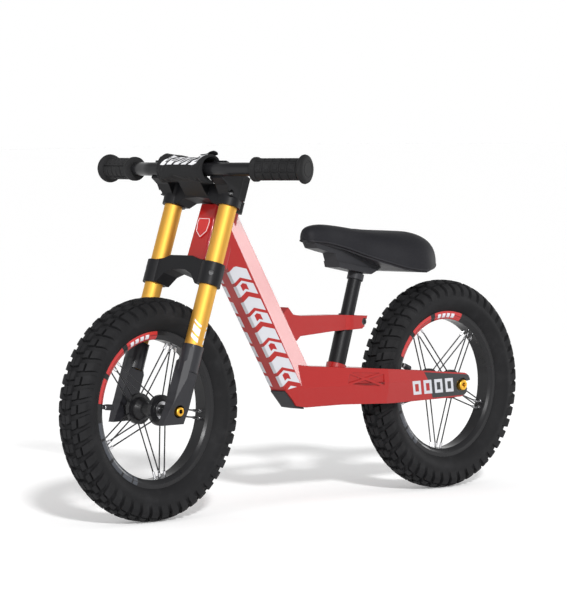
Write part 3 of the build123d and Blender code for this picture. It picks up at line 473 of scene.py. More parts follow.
@dataclass(frozen=True)
class Livery:
    """Lacquered frame paint with its printed marks under the lacquer."""

    name: str
    paint: RGB
    print_colour: RGB
    dark: RGB
    foot: tuple[float, float]
    run: tuple[float, float]
    front_half: float
    edge_reach: float
    beam_shear: float = 0.36
    beam_point: float = 0.62
    beam_middle: float = 0.0155
    beam_lane: SPAN = (0.0015, 0.0325)
    beam_run: SPAN = (-0.008, 0.200)
    beam_start: float = 0.0035
    beam_pitch: float = 0.0512
    beam_bands: tuple[SPAN, SPAN] = ((0.0015, 0.0195), (0.0250, 0.0440))
    beam_slot: SPAN = (0.0055, 0.0155)
    beam_slot_half: float = 0.0045
    beam_foot: SPAN = (0.1435, 0.1440)
    stay_face: SPAN = (0.040, 0.041)
    stay_front: SPAN = (-0.2245, -0.2241)
    stay_front_slope: float = 0.588
    stay_low: float = 0.1371
    stay_high: float = 0.187
    stay_high_at: float = -0.145
    stay_high_slope: float = 0.0932
    stay_margin: SPAN = (0.0020, 0.0024)
    stay_lean: float = 0.34
    stay_start: float = -0.2765
    stay_pitch: float = 0.0232
    stay_bar: SPAN = (0.0015, 0.0185)
    stay_run: SPAN = (-0.2760, -0.1850)
    stay_height: SPAN = (0.1462, 0.1668)
    stay_notch: SPAN = (0.0062, 0.0138)
    stay_notch_height: SPAN = (0.1508, 0.1622)
    axle_height: float = 0.155

    def beam_marks(self, x: Wire, y: Wire, z: Wire) -> Wire:
        """Chevrons down both sides of the main beam that wrap on to its front face.

        Along is the distance along the beam and q the distance across, unrolled from the crease
        over the front edge. A chevron is a band of along less a shear times q, plus a slope times
        the distance of q from its middle.

        Args:
            x: Forward coordinate.
            y: Sideways coordinate.
            z: Upward coordinate.

        Returns:
            The mask of the print.
        """
        dx, dz = x - self.foot[0], z - self.foot[1]
        along = dx * self.run[0] + dz * self.run[1]
        out = dx * self.run[1] - dz * self.run[0]
        side = abs(y)
        q = out + self.edge_reach + (self.front_half - side).at_least(0.0)
        tip = along - q * self.beam_shear + abs(q - self.beam_middle) * self.beam_point
        lane = q.between(*self.beam_lane, PRINT_EDGE)
        span = (along - q * self.beam_shear).between(*self.beam_run, PRINT_EDGE)
        step = (tip - self.beam_start).cycle(self.beam_pitch)
        broad, narrow = self.beam_bands
        band = step.between(*broad, PRINT_EDGE).at_least(step.between(*narrow, PRINT_EDGE))
        half = self.beam_slot_half
        middle = (q - self.beam_middle).between(-half, half, PRINT_EDGE)
        slot = middle * step.between(*self.beam_slot, PRINT_EDGE)
        return band * (1 - slot) * lane * span * z.rise(*self.beam_foot)

    def stay_marks(self, x: Wire, y: Wire, z: Wire) -> tuple[Wire, Wire]:
        """The dark field at the tail of each stay, and the pale bars on it.

        The field ends at a slanted front line and a margin inside the stay's lower and upper edges.

        Args:
            x: Forward coordinate.
            y: Sideways coordinate.
            z: Upward coordinate.

        Returns:
            The masks of the field and of the bars.
        """
        side = abs(y).rise(*self.stay_face)
        front = (x - (z - self.axle_height) * self.stay_front_slope).rise(*self.stay_front)
        low = (z - self.stay_low).rise(*self.stay_margin)
        top = self.stay_high + (x - self.stay_high_at) * self.stay_high_slope
        high = (top - z).rise(*self.stay_margin)
        field_mask = side * (1 - front) * low * high
        lean = x - (z - self.axle_height) * self.stay_lean
        height = z.between(*self.stay_height, PRINT_EDGE)
        cycle = (lean - self.stay_start).cycle(self.stay_pitch)
        bars = cycle.between(*self.stay_bar, PRINT_EDGE) * lean.between(*self.stay_run, PRINT_EDGE)
        notch = (cycle.between(*self.stay_notch, PRINT_EDGE)
                 * z.between(*self.stay_notch_height, PRINT_EDGE))
        return field_mask, bars * height * (1 - notch) * side

    def material(self) -> bpy.types.Material:
        """Paint with a faint orange peel, the prints, and a clear coat over all."""
        s = Shader(self.name)
        x, y, z = s.axes()
        beam = self.beam_marks(x, y, z)
        dark, bars = self.stay_marks(x, y, z)
        tone = s.noise(9.0, 2.0)
        base = s.mix(tone, tuple(c * 0.93 for c in self.paint), self.paint)
        base = s.mix(dark, base, self.dark)
        base = s.mix(beam.at_least(bars), base, self.print_colour)
        s.bump(s.noise(420.0, 1.0), 0.00005, 0.35, 0.0016)
        return s.finish(
            Base_Color=base, Roughness=0.34 + s.noise(60.0) * 0.06,
            Coat_Weight=0.45, Coat_Roughness=0.06, Specular_IOR_Level=0.2,
        )


made_materials: dict[str, bpy.types.Material] = {}


class Finish(Enum):
    """The finishes of the bike, each made once."""

    CROWN = Coating("black_crown", (0.006, 0.006, 0.007), 0.46, grain=1500, grain_depth=0.00010)
    LEG = Coating("black_leg", (0.016, 0.016, 0.019), 0.40, coat=0.25, edge=0.0014)
    BAR = Coating("black_bar", (0.009, 0.009, 0.010), 0.30, coat=0.2)
    MOULDING = Coating("black_moulding", (0.024, 0.024, 0.027), 0.46, grain=1200,
                       grain_depth=0.00012)
    BADGE = Coating("badge_paint", (0.40, 0.010, 0.008), 0.26, coat=0.6)
    BADGE_LINE = Coating("badge_line", (0.64, 0.64, 0.66), 0.35, coat=0.5)
    RIM = Coating("rim_black", (0.010, 0.010, 0.011), 0.28, coat=0.2)
    HUB = Coating("hub_black", (0.010, 0.010, 0.011), 0.30, coat=0.2)
    DECAL_RED = Coating("rim_mark_red", (0.40, 0.024, 0.024), 0.38, coat=0.4)
    DECAL_GREY = Coating("rim_mark_grey", (0.045, 0.049, 0.058), 0.38, coat=0.3)
    DECAL_WHITE = Coating("rim_mark_white", (0.58, 0.58, 0.62), 0.38, coat=0.3)
    SPOKE = Coating("spoke_black", (0.020, 0.020, 0.022), 0.30, metallic=0.5)
    NIPPLE = Coating("nipple_silver", (0.72, 0.72, 0.74), 0.24, metallic=1.0, uneven=0.06)
    # the gold axle nuts carry a near-black disc of painted shade in each key socket
    GOLD = Coating("gold_parts", (0.80, 0.44, 0.052), 0.36, metallic=1.0, uneven=0.05,
                   socket=0.0031, axles=((0.2932, 0.155), (-0.2932, 0.155)))
    STEEL = Coating("bright_steel", (0.60, 0.60, 0.62), 0.30, metallic=1.0)
    SCREW = Coating("dark_steel", (0.014, 0.014, 0.016), 0.42, metallic=0.2)
    POST = Coating("black_post", (0.006, 0.006, 0.007), 0.44)
    PAN = Coating("saddle_plastic", (0.022, 0.022, 0.025), 0.40, grain=800, grain_depth=0.0001)
    TYRE = Rubber("tyre_rubber", (0.011, 0.011, 0.0118))
    TUBE = Rubber("tube_rubber", (0.013, 0.013, 0.014), 0.5)
    GRIP = Rubber("grip_rubber", (0.013, 0.013, 0.0135), 0.60, 1700.0, 0.00010)
    LEATHER = Leatherette("saddle_leather", (0.015, 0.015, 0.018))
    SLEEVE = Rubber("sleeve_lining", (0.011, 0.011, 0.012), 0.9)

    def material(self) -> bpy.types.Material:
        """The finish's material, made the first time that it is asked for."""
        if self.name not in made_materials:
            made_materials[self.name] = self.value.material()
        return made_materials[self.name]


# ---------------------------------------------------------------- surfaces
def spline(points: np.ndarray, places: np.ndarray) -> np.ndarray:
    """Smooth curve through points, a Catmull-Rom spline.

    Between points i and i+1, with share u, the value is the cubic that has the half difference
    of its neighbours as slope at each end.

    Args:
        points: The points, n by k.
        places: Where to evaluate it, in numbers of points from the first.

    Returns:
        The values, one row for each place.
    """
    p = np.asarray(points, float)
    last = len(p) - 1
    i = np.clip(np.floor(places).astype(int), 0, last - 1)
    u = (places - i)[:, None]
    a, b, c, d = (p[np.clip(i + k, 0, last)] for k in (-1, 0, 1, 2))
    m0, m1 = (c - a) / 2, (d - b) / 2
    return ((2 * u**3 - 3 * u**2 + 1) * b + (u**3 - 2 * u**2 + u) * m0
            + (3 * u**2 - 2 * u**3) * c + (u**3 - u**2) * m1)


def grid_faces(rows: int, columns: int, wrap_rows: bool) -> np.ndarray:
    """Quads of a grid of points numbered row by row, each row a closed ring.

    The quad of row i and column j joins it to the next row and the next column.

    Args:
        rows: Number of rows.
        columns: Points in a row.
        wrap_rows: Whether the last row joins the first.

    Returns:
        Point numbers, quads by 4.
    """
    i = np.arange(rows if wrap_rows else rows - 1)[:, None]
    j = np.arange(columns)[None, :]
    k, m = (i + 1) % rows, (j + 1) % columns
    quads = [i * columns + j, i * columns + m, k * columns + m, k * columns + j]
    return np.stack([np.broadcast_to(q, (i.size, j.size)) for q in quads], -1).reshape(-1, 4)


def trapezoid(places: np.ndarray, low: float, high: float, slope: float) -> np.ndarray:
    """1 between low and high, falling to 0 over slope outside them."""
    return np.clip(np.minimum(places - low, high - places) / slope + 1, 0, 1)


@dataclass
class Piece:
    """Points and faces that become one Blender object."""

    name: str
    points: list[np.ndarray] = field(default_factory=list)
    faces: list[list[int]] = field(default_factory=list)

    def sheet(self, grid: np.ndarray, wrap_rows: bool = False) -> None:
        """Adds a grid of rings as a closed surface, its two ends closed by fans.

        Args:
            grid: rows by columns by 3.
            wrap_rows: Whether the last row joins the first, which leaves no ends to close.
        """
        rows, columns = grid.shape[:2]
        points = grid.reshape(-1, 3)
        faces = grid_faces(rows, columns, wrap_rows).tolist()
        if not wrap_rows:
            last = (rows - 1) * columns
            points = np.vstack([points, grid[0].mean(0), grid[-1].mean(0)])
            j = np.arange(columns)
            m = (j + 1) % columns
            pole = np.full(columns, rows * columns)
            faces += np.stack([m, j, pole], -1).tolist()
            faces += np.stack([last + j, last + m, pole + 1], -1).tolist()
        start = sum(len(p) for p in self.points)
        self.points.append(points)
        self.faces.extend([[v + start for v in f] for f in faces])

    def build(self, material: bpy.types.Material, smooth_angle: float = 35.0) -> bpy.types.Object:
        """Makes the object, with its faces outwards.

        The sum of each face's centre dotted with its area vector is three times the volume, so a
        sum below zero means that the faces look inwards and are turned round.

        Args:
            material: What it is finished in.
            smooth_angle: Edges sharper than this, in degrees, stay sharp.

        Returns:
            The object, linked to the scene.
        """
        points = np.vstack(self.points)
        mesh = bpy.data.meshes.new(self.name)
        mesh.from_pydata(points, [], self.faces)
        mesh.update()
        count = len(mesh.polygons)
        normal, centre, area = np.zeros(count * 3), np.zeros(count * 3), np.zeros(count)
        mesh.polygons.foreach_get("normal", normal)
        mesh.polygons.foreach_get("center", centre)
        mesh.polygons.foreach_get("area", area)
        middle = points.mean(0)
        volume = ((centre.reshape(-1, 3) - middle) * normal.reshape(-1, 3)).sum(1) @ area
        if volume < 0:
            mesh.flip_normals()
        mesh.shade_smooth()
        mesh.set_sharp_from_angle(angle=math.radians(smooth_angle))
        mesh.materials.append(material)
        made = bpy.data.objects.new(self.name, mesh)
        bpy.context.scene.collection.objects.link(made)
        return made


def tube(path: np.ndarray, across: np.ndarray, radius: float, sides: int = 10) -> np.ndarray:
    """Grid of a round tube along a path.

    Each ring is path + radius * (cos a * across + sin a * (tangent x across)), with the tangent
    from the neighbouring points.

    Args:
        path: Points of the centre line, n by 3.
        across: A direction that is never along the path.
        radius: The tube's radius.
        sides: Points in a ring.

    Returns:
        n by sides by 3.
    """
    tangent = np.gradient(path, axis=0)
    tangent /= np.linalg.norm(tangent, axis=1, keepdims=True)
    first = across - (tangent @ across)[:, None] * tangent
    first /= np.linalg.norm(first, axis=1, keepdims=True)
    second = np.cross(tangent, first)
    a = np.linspace(0, FULL_TURN, sides, endpoint=False)
    return (path[:, None] + radius * (np.cos(a)[None, :, None] * first[:, None]
                                      + np.sin(a)[None, :, None] * second[:, None]))


def turned(radius: np.ndarray, reach: np.ndarray, origin: np.ndarray, axis: np.ndarray,
           first: np.ndarray, angles: np.ndarray) -> np.ndarray:
    """Grid of a surface turned about an axis: origin + reach * axis + radius * (cos a, sin a).

    Args:
        radius: Distance from the axis, one for each row, or rows by angles.
        reach: Distance along the axis, one for each row, or rows by angles.
        origin: Where the axis starts.
        axis: Its direction, of length 1.
        first: The direction of angle 0, of length 1.
        angles: The angles of a ring's points.

    Returns:
        rows by angles by 3.
    """
    second = np.cross(axis, first)
    radius = radius if radius.ndim == 2 else np.repeat(radius[:, None], len(angles), 1)
    reach = reach if reach.ndim == 2 else np.repeat(reach[:, None], len(angles), 1)
    spoke = np.cos(angles)[None, :, None] * first + np.sin(angles)[None, :, None] * second
    return origin + reach[..., None] * axis + radius[..., None] * spoke


def puff(piece: bpy.types.Object, held: np.ndarray, pressure: float, shrink: float,
         cap: float) -> None:
    """Swells a closed cover with a short cloth simulation and keeps its result in the mesh.

    Args:
        piece: The cover.
        held: Which points stay where they are, as numbers from 0 to 1.
        pressure: The pressure inside.
        shrink: Share by which the cloth is cut smaller, or larger when it is below zero.
        cap: The furthest that a point may move, in metres.
    """
    scene = bpy.context.scene
    group = piece.vertex_groups.new(name="held")
    for weight in np.unique(held[held > 0]):
        group.add(np.flatnonzero(held == weight).tolist(), float(weight), "REPLACE")
    cloth = piece.modifiers.new("cloth", "CLOTH")
    settings = cloth.settings
    settings.quality = 6
    settings.mass = 0.15
    settings.tension_stiffness = settings.compression_stiffness = 12
    settings.bending_stiffness = 0.05
    settings.use_pressure = True
    settings.uniform_pressure_force = pressure
    settings.effector_weights.gravity = 0
    settings.shrink_min = shrink
    settings.vertex_group_mass = group.name
    settings.pin_stiffness = 1.0
    cloth.point_cache.frame_start, cloth.point_cache.frame_end = 1, CLOTH_FRAMES
    for step in range(1, CLOTH_FRAMES + 1):
        scene.frame_set(step)
    shape = piece.evaluated_get(bpy.context.evaluated_depsgraph_get()).data
    count = len(piece.data.vertices)
    before, after = np.zeros(count * 3), np.zeros(count * 3)
    piece.data.vertices.foreach_get("co", before)
    shape.vertices.foreach_get("co", after)
    move = (after - before).reshape(-1, 3)
    length = np.linalg.norm(move, axis=1, keepdims=True)
    move *= np.minimum(1, cap / np.maximum(length, TINY))
    piece.modifiers.remove(cloth)
    piece.vertex_groups.remove(group)
    piece.data.vertices.foreach_set("co", before + move.ravel())
    piece.data.update()
    scene.frame_set(1)


def refine(piece: bpy.types.Object) -> None:
    """Adds one level of subdivision."""
    smooth = piece.modifiers.new("refine", "SUBSURF")
    smooth.levels = smooth.render_levels = 1


def place_piece(piece: bpy.types.Object, body: str, slot: str, *nodes: str) -> None:
    """Lets a piece ride on a body and stand for nodes, and reports it.

    Args:
        piece: The finished piece.
        body: The body that it moves with.
        slot: A material slot's name; not used.
        nodes: The CAD nodes that it replaces.
    """
    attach(piece, body)
    if nodes:
        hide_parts(*nodes)
    log.info("%s rides on %s, %d faces", piece.name, body, len(piece.data.polygons))


# ---------------------------------------------------------------- wheels
@dataclass
class Wheel:
    """A knobbly tyre, marked rim, hub, spokes and valve on one axle."""

    end: str
    turn: float
    knobs: int = 48
    knob_wall: float = 0.8
    knob_soft: float = 0.034
    lean_degrees: float = 3.4
    side_rings: tuple = ((41.0, 0.9, 0.0005), (55.0, 0.8, 0.0007), (37.0, 0.6, 0.0004))
    mark_low: float = 0.0968
    mark_high: float = 0.1084
    knob_height: float = 0.0050
    bead_radius: float = 0.1076
    red_spans: tuple = ((91.6, 59.7), (54.8, 31.3), (27.2, 8.2))
    grey_spans: tuple = ((-6, -18), (-20, -36), (-38.5, -51), (-53, -63), (-64.5, -69))
    white_spans: tuple = tuple((a, a - 3.6) for a in (83.0, 77.6, 72.2, 66.8))

    def __post_init__(self) -> None:
        """Takes the axle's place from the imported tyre."""
        low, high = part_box(f"{self.end}_tyre")
        self.centre = np.array([(low.x + high.x) / 2, 0.0, (low.z + high.z) / 2])
        self.body = f"{self.end}_wheel"

    def carcass(self) -> tuple[np.ndarray, np.ndarray]:
        """Section of the casing without knobs, from bead to bead.

        Returns:
            Its points as y and radius, and each point's distance from the crown along it.
        """
        mm = np.array([(0, 149.8), (8, 149.1), (14.5, 146.4), (19.8, 141.9), (23.7, 135.5),
                       (25.7, 128.5), (25.2, 122.6), (22.6, 117.4), (19.0, 113.2), (16.4, 110.6),
                       (14.9, 109.2)])
        full = np.vstack([mm[::-1] * [-1, 1], mm[1:]])
        dense = spline(full, np.linspace(0, len(full) - 1, 900)) * MM
        length = np.concatenate([[0], np.cumsum(np.linalg.norm(np.diff(dense, axis=0), axis=1))])
        return dense, length - length[-1] / 2

    def tread_rows(self) -> list[tuple[float, float, float, float, float]]:
        """Rows of knobs on one side: start, end and tail end in mm from the crown, phase, share."""
        return [
            (0.9, 7.0, 7.0, 0.50, 0.58),
            (9.2, 15.4, 15.4, 0.03, 0.56),
            (17.4, 25.2, 34.5, 0.00, 0.62),
        ]

    def tyre(self) -> None:
        """Casing turned about the axle and raised along its normal by the knobs.

        A knob is the product of a trapezoid across the tread and one round the wheel. The angle of
        each row is sheared by its distance from the crown, so the knobs lean but their walls stay
        on grid lines. Low rings stand on the side wall, and the inside is a second, plain skin.
        """
        dense, length = self.carcass()
        half = length[-1] / MM
        wall, soft = self.knob_wall, self.knob_soft
        stops = {half}
        for start, end, tail, _, _ in self.tread_rows():
            stops |= {start - wall, start, (start + end) / 2, end, end + wall, tail,
                      (end + tail) / 2}
        stops |= set(np.linspace(36, half, 13))
        side = np.array(sorted(s for s in stops if 0.2 < s <= half))
        side = side[np.concatenate([[True], np.diff(side) > 0.25])]
        across = np.concatenate([-side[::-1], [0], side])
        y = np.interp(across * MM, length, dense[:, 0])
        r = np.interp(across * MM, length, dense[:, 1])
        slope = np.stack([np.gradient(y), np.gradient(r)], 1)
        slope /= np.linalg.norm(slope, axis=1, keepdims=True)
        normal = np.stack([-slope[:, 1], slope[:, 0]], 1)
        share = {0.0, 0.5}
        for *_, phase, width in self.tread_rows():
            a, b = phase % 1, (phase + width) % 1
            share |= {a, (a - soft) % 1, b, (b + soft) % 1}
        share = np.array(sorted(share))
        share = share[np.concatenate([[True], np.diff(share) > 0.022])]
        column = (np.arange(self.knobs)[:, None] + share[None, :]).ravel()
        cycle = np.tile(share, self.knobs)
        height = np.zeros((len(across), len(column)))
        for start, end, tail, phase, width in self.tread_rows():
            for sign in (1, -1):
                place = across * sign
                band = trapezoid(place, start, end, wall)
                if tail > end:
                    fade = np.clip((tail - place) / (tail - end), 0, 1) ** 0.8
                    band = np.where(place > end, fade * (place > 0), band)
                local = (cycle - phase + soft * 1.01) % 1 - soft * 1.01
                block = np.clip(np.minimum(local, width - local) / soft + 1, 0, 1)
                height = np.maximum(height, self.knob_height * band[:, None] * block[None, :])
        distance = np.abs(across)
        rings = sum(tall * np.exp(-((distance - at) / broad) ** 2)
                    for at, broad, tall in self.side_rings)
        height += rings[:, None]
        lean = (np.radians(self.lean_degrees) * (distance / 25.0) ** 1.3
                * np.clip((48 - distance) / 16, 0, 1))
        angle = column[None, :] * FULL_TURN / self.knobs + lean[:, None]
        radial = r[:, None] + height * normal[:, 1:2]
        aside = y[:, None] + height * normal[:, 0:1]
        outer = np.stack([radial * np.cos(angle), aside, radial * np.sin(angle)], -1)
        inner_r = np.array([self.bead_radius, 0.118, 0.136, 0.1445, 0.136, 0.118,
                            self.bead_radius])
        inner_y = np.array([0.0120, 0.0195, 0.0185, 0.0, -0.0185, -0.0195, -0.0120])
        turn = column * FULL_TURN / self.knobs
        inner = np.stack([inner_r[:, None] * np.cos(turn),
                          np.repeat(inner_y[:, None], len(turn), 1),
                          inner_r[:, None] * np.sin(turn)], -1)
        piece = Piece(f"{self.end}_tyre_knobbed")
        piece.sheet(np.concatenate([outer, inner]) + self.centre, wrap_rows=True)
        place_piece(piece.build(Finish.TYRE.material(), 40), self.body, "tyre_rubber",
                    f"{self.end}_tyre")

    def arc(self, piece: Piece, span: SPAN, low: float, high: float, side: int,
            lift: float) -> None:
        """A thin mark on the rim's face, a closed strip that follows its chamfer.

        Its section is the face's outline between two radii, lifted by its thickness.

        Args:
            piece: The piece that it is added to.
            span: First and last angle, in degrees.
            low: Its inner radius.
            high: Its outer radius.
            side: 1 for the left face and -1 for the right.
            lift: Its thickness above the face.
        """
        radius = np.linspace(low, high, 6)
        face = np.interp(radius, [0.0965, 0.1001, 0.1029, 0.1088],
                         [0.0100, 0.0129, 0.0145, 0.0145])
        section_r = np.concatenate([radius, radius[::-1]])
        section_y = np.concatenate([face + lift, face[::-1] - 0.0003])
        steps = max(4, int(abs(span[1] - span[0]) * 1.2))
        angle = np.radians(np.linspace(span[0] + self.turn, span[1] + self.turn, steps))
        grid = np.stack([section_r[None, :] * np.cos(angle)[:, None],
                         np.repeat(side * section_y[None, :], steps, 0),
                         section_r[None, :] * np.sin(angle)[:, None]], -1)
        piece.sheet(grid + self.centre)

    def marks(self) -> None:
        """Red, grey and white marks on both faces of the rim."""
        edges = self.mark_low, self.mark_high
        for name, finish, spans, (low, high), lift in (
            ("red", Finish.DECAL_RED, self.red_spans, edges, 0.00022),
            ("grey", Finish.DECAL_GREY, self.grey_spans, edges, 0.00020),
            ("white", Finish.DECAL_WHITE, self.white_spans, (0.0990, 0.1052), 0.00040),
        ):
            piece = Piece(f"{self.end}_rim_marks_{name}")
            for side in (1, -1):
                for span in spans:
                    self.arc(piece, span, low, high, side, lift)
            place_piece(piece.build(finish.material()), self.body, "rim_black")

    def valve(self, angle: float) -> None:
        """A ribbed valve cap and the bright collar next to it.

        The cap's radius is a cosine of the angle round it, with a chamfer at each end.

        Args:
            angle: Where the valve stands round the wheel, in degrees.
        """
        low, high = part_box(f"{self.end}_valve_cap")
        left = np.array([0.0, 1.0, 0.0])
        direction = np.array([math.cos(math.radians(angle)), 0.0, math.sin(math.radians(angle))])
        middle = np.array([(low[i] + high[i]) / 2 for i in range(3)])
        half = 0.0070
        angles = np.linspace(0, FULL_TURN, 72, endpoint=False)
        reach = np.array([-half, -half, -half + 0.0006, half - 0.0016, half - 0.0004, half])
        base = np.array([0.0020, 0.0036, 0.0040, 0.0040, 0.0032, 0.0020])
        ribs = np.array([0, 0, 1, 1, 0, 0])[:, None] * 0.00016 * np.cos(18 * angles)[None, :]
        grid = turned(base[:, None] + ribs, reach, middle, direction, left, angles)
        collar = Piece(f"{self.end}_valve_collar")
        collar_reach = half + np.array([0.0, 0.0003, 0.0018, 0.0021])
        collar.sheet(turned(np.array([0.0024, 0.0036, 0.0036, 0.0024]), collar_reach, middle,
                            direction, left, angles[::2]))
        place_piece(collar.build(Finish.NIPPLE.material()), self.body, "nipple_silver")
        piece = Piece(f"{self.end}_valve_cap_ribbed")
        piece.sheet(grid)
        place_piece(piece.build(Finish.MOULDING.material()), self.body, "black_moulding",
                    f"{self.end}_valve_cap")

    def build(self, valve_angle: float) -> None:
        """Makes every new piece of the wheel."""
        self.tyre()
        self.marks()
        self.valve(valve_angle)


# ---------------------------------------------------------------- handlebar
@dataclass
class Grip:
    """Rubber grip with rows of raised blocks, a thin inner flange and a broad round end."""

    side: int
    body_radius: float = 0.0153
    end_radius: float = 0.0202
    sweep: float = math.radians(15.05)
    blocks_from: float = 0.0112
    blocks_to: float = 0.0764
    first_turn: float = 0.26
    columns: int = 5
    rows: int = 6
    groove: float = 0.0013

    def build(self) -> None:
        """Turns the profile about the bar and cuts the grooves into it.

        The radius at reach s and angle a is the smooth profile less the groove depth wherever
        the distance to the nearest block's edge, along or round, is under the groove's width; a
        second, fainter groove at a constant distance inside that edge outlines every other block.
        """
        name = "left_grip" if self.side > 0 else "right_grip"
        low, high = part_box(name)
        axis = np.array([math.sin(self.sweep), -self.side * math.cos(self.sweep), 0.0])
        up = np.array([0.0, 0.0, 1.0])
        height = (low.z + high.z) / 2
        end_y = self.side * max(abs(low.y), abs(high.y))
        disc = self.end_radius * math.sin(self.sweep)
        origin = np.array([low.x + self.end_radius * math.cos(self.sweep),
                           end_y - self.side * disc, height])
        flange = np.array([(0.0, 0.0), (0.0, 5.0), (0.0, 9.4), (0.35, 10.0), (0.35, 11.4),
                           (0.0, 12.0), (0.1, 14.4), (0.7, 17.2), (2.2, 19.4), (4.4, 20.2),
                           (6.2, 19.9), (7.6, 18.6), (9.2, 16.4), (11.0, 15.4)]) * MM
        start, stop = self.blocks_from, self.blocks_to
        block = (stop - start) / self.columns
        edges = np.array([0.0, 0.55, 1.15, 2.6, 2.9, 3.6, 3.9, 5.0]) * MM
        inside = np.concatenate([edges, [block / 2], block - edges[::-1]])
        body = (start + np.arange(self.columns)[:, None] * block + inside[None, :-1]).ravel()
        tail = np.array([(stop, 15.3), (77.0 * MM, 15.5), (77.9 * MM, 16.8), (79.0 * MM, 17.0),
                         (83.0 * MM, 17.0), (84.0 * MM, 16.4), (84.4 * MM, 15.6),
                         (84.4 * MM, 10.0)])
        tail[:, 1] *= MM
        arc = FULL_TURN / self.rows
        turn_edges = edges / self.body_radius
        turn_inside = np.concatenate([turn_edges, [arc / 2], arc - turn_edges[::-1]])
        angles = (np.arange(self.rows)[:, None] * arc + turn_inside[None, :-1]).ravel()
        reach = np.concatenate([flange[:, 0], body, tail[:, 0]])
        base = np.concatenate([flange[:, 1], np.full(len(body), self.body_radius), tail[:, 1]])
        local = np.minimum((body - start) % block, block - (body - start) % block)
        around = np.minimum(angles % arc, arc - angles % arc) * self.body_radius
        nearest = np.minimum(local[:, None], around[None, :])
        cut = self.groove * np.clip((0.00115 - nearest) / 0.0005, 0, 1)
        odd = (np.floor(angles / arc + 1e-6).astype(int) % 2 == 0)[None, :]
        inset = 0.0006 * trapezoid(nearest, 0.0029, 0.0036, 0.0003) * odd
        radius = np.repeat(base[:, None], len(angles), 1)
        radius[len(flange):len(flange) + len(body)] -= cut + inset
        grid = turned(radius, reach, origin, axis, up, angles + self.first_turn)
        piece = Piece(f"{name}_blocked")
        piece.sheet(grid[1:])
        made = piece.build(Finish.GRIP.material(), 30)
        place_piece(made, "handlebar", "grip_rubber", name)


@dataclass
class BarPad:
    """Padded woven sleeve round the stem, with hems and a loose closing tab."""

    around: int = 72
    across: int = 44
    inner: float = 0.0158
    outer: float = 0.0193
    half: float = 0.0460
    open_from: float = math.radians(-116.0)
    open_to: float = math.radians(206.0)

    def __post_init__(self) -> None:
        """Takes the pad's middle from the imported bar."""
        low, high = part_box("handlebar")
        _, pad_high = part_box("handlebar_pad")
        self.centre = np.array([pad_high.x - 0.0198, 0.0, (low.z + high.z) / 2])

    def sleeve(self) -> None:
        """A wrapped slab: angle round the bar by place across its hollow section.

        Every row is a closed ring across the pad's length, outside out and inside back, with
        hems a little thinner; the rows run round the bar and close at both edges of the opening.
        """
        angle = np.linspace(self.open_from, self.open_to, self.around)
        run = np.linspace(-1, 1, self.across)
        ring_y = np.concatenate([run, run[::-1]]) * self.half
        edge = np.abs(np.concatenate([run, run[::-1]]))
        hem = 1 - 0.30 * np.clip((edge - 0.90) / 0.10, 0, 1) ** 2
        middle = (self.inner + self.outer) / 2
        thick = (self.outer - self.inner) / 2
        sign = np.concatenate([np.ones(self.across), -np.ones(self.across)])
        end = np.clip(np.minimum(angle - self.open_from, self.open_to - angle) / 0.13, 0, 1) ** 0.5
        wave = 0.0006 * np.sin(3 * angle)[:, None] * np.sin(ring_y * 55.0)[None, :]
        flare = 0.0016 * np.clip((np.abs(ring_y) - 0.030) / 0.012, 0, 1)[None, :] * (
            np.clip(np.sin(angle), 0, 1) ** 2)[:, None]
        radius = (middle + (sign * thick * hem)[None, :] * (0.35 + 0.65 * end)[:, None]
                  + wave + flare)
        pull = 1 - 0.012 * np.cos(angle * 2.0)
        grid = np.stack([radius * np.cos(angle)[:, None], ring_y[None, :] * pull[:, None],
                         radius * np.sin(angle)[:, None]], -1) + self.centre
        piece = Piece("bar_pad_sleeve")
        piece.sheet(grid)
        weave = Weave("pad_weave", (0.014, 0.014, 0.015), (0.64, 0.64, 0.66),
                      tuple(float(v) for v in self.centre))
        made = piece.build(weave.material(), 70)
        inside = np.tile((sign < 0).astype(float), (self.around, 1))
        inside[:, np.abs(ring_y) > self.half * 0.97] = 1.0
        inside[[0, 1, -2, -1]] = 1.0
        puff(made, np.concatenate([inside.ravel(), [1.0, 1.0]]), 2.2, -0.07, 0.0024)
        refine(made)
        place_piece(made, "fork", "pad_fabric", "handlebar_pad")

    def tab(self) -> None:
        """The free end of the closing strap: a ribbon that curls up and out from the sleeve."""
        path = np.array([(0.0200, 0.026), (0.0205, 0.033), (0.0214, 0.039), (0.0230, 0.0435),
                         (0.0252, 0.0478)])
        rows, sides = 22, 20
        line = spline(path, np.linspace(0, len(path) - 1, rows))
        width = 0.0075 * np.clip((1.04 - np.linspace(0, 1, rows)) / 0.16, 0, 1) ** 0.5
        ring = np.linspace(0, FULL_TURN, sides, endpoint=False)
        spread, depth = np.cos(ring), np.sin(ring) * 0.0011
        angle = math.radians(103.0) + spread[None, :] * (width / 0.0205)[:, None]
        radius = line[:, :1] + depth[None, :]
        grid = np.stack([radius * np.cos(angle), np.repeat(line[:, 1:], sides, 1),
                         radius * np.sin(angle)], -1) + self.centre
        piece = Piece("bar_pad_tab")
        piece.sheet(grid)
        made = piece.build(Finish.SLEEVE.material(), 60)
        refine(made)
        place_piece(made, "fork", "pad_fabric")

    def build(self) -> None:
        """Makes the sleeve and its tab."""
        self.sleeve()
        self.tab()


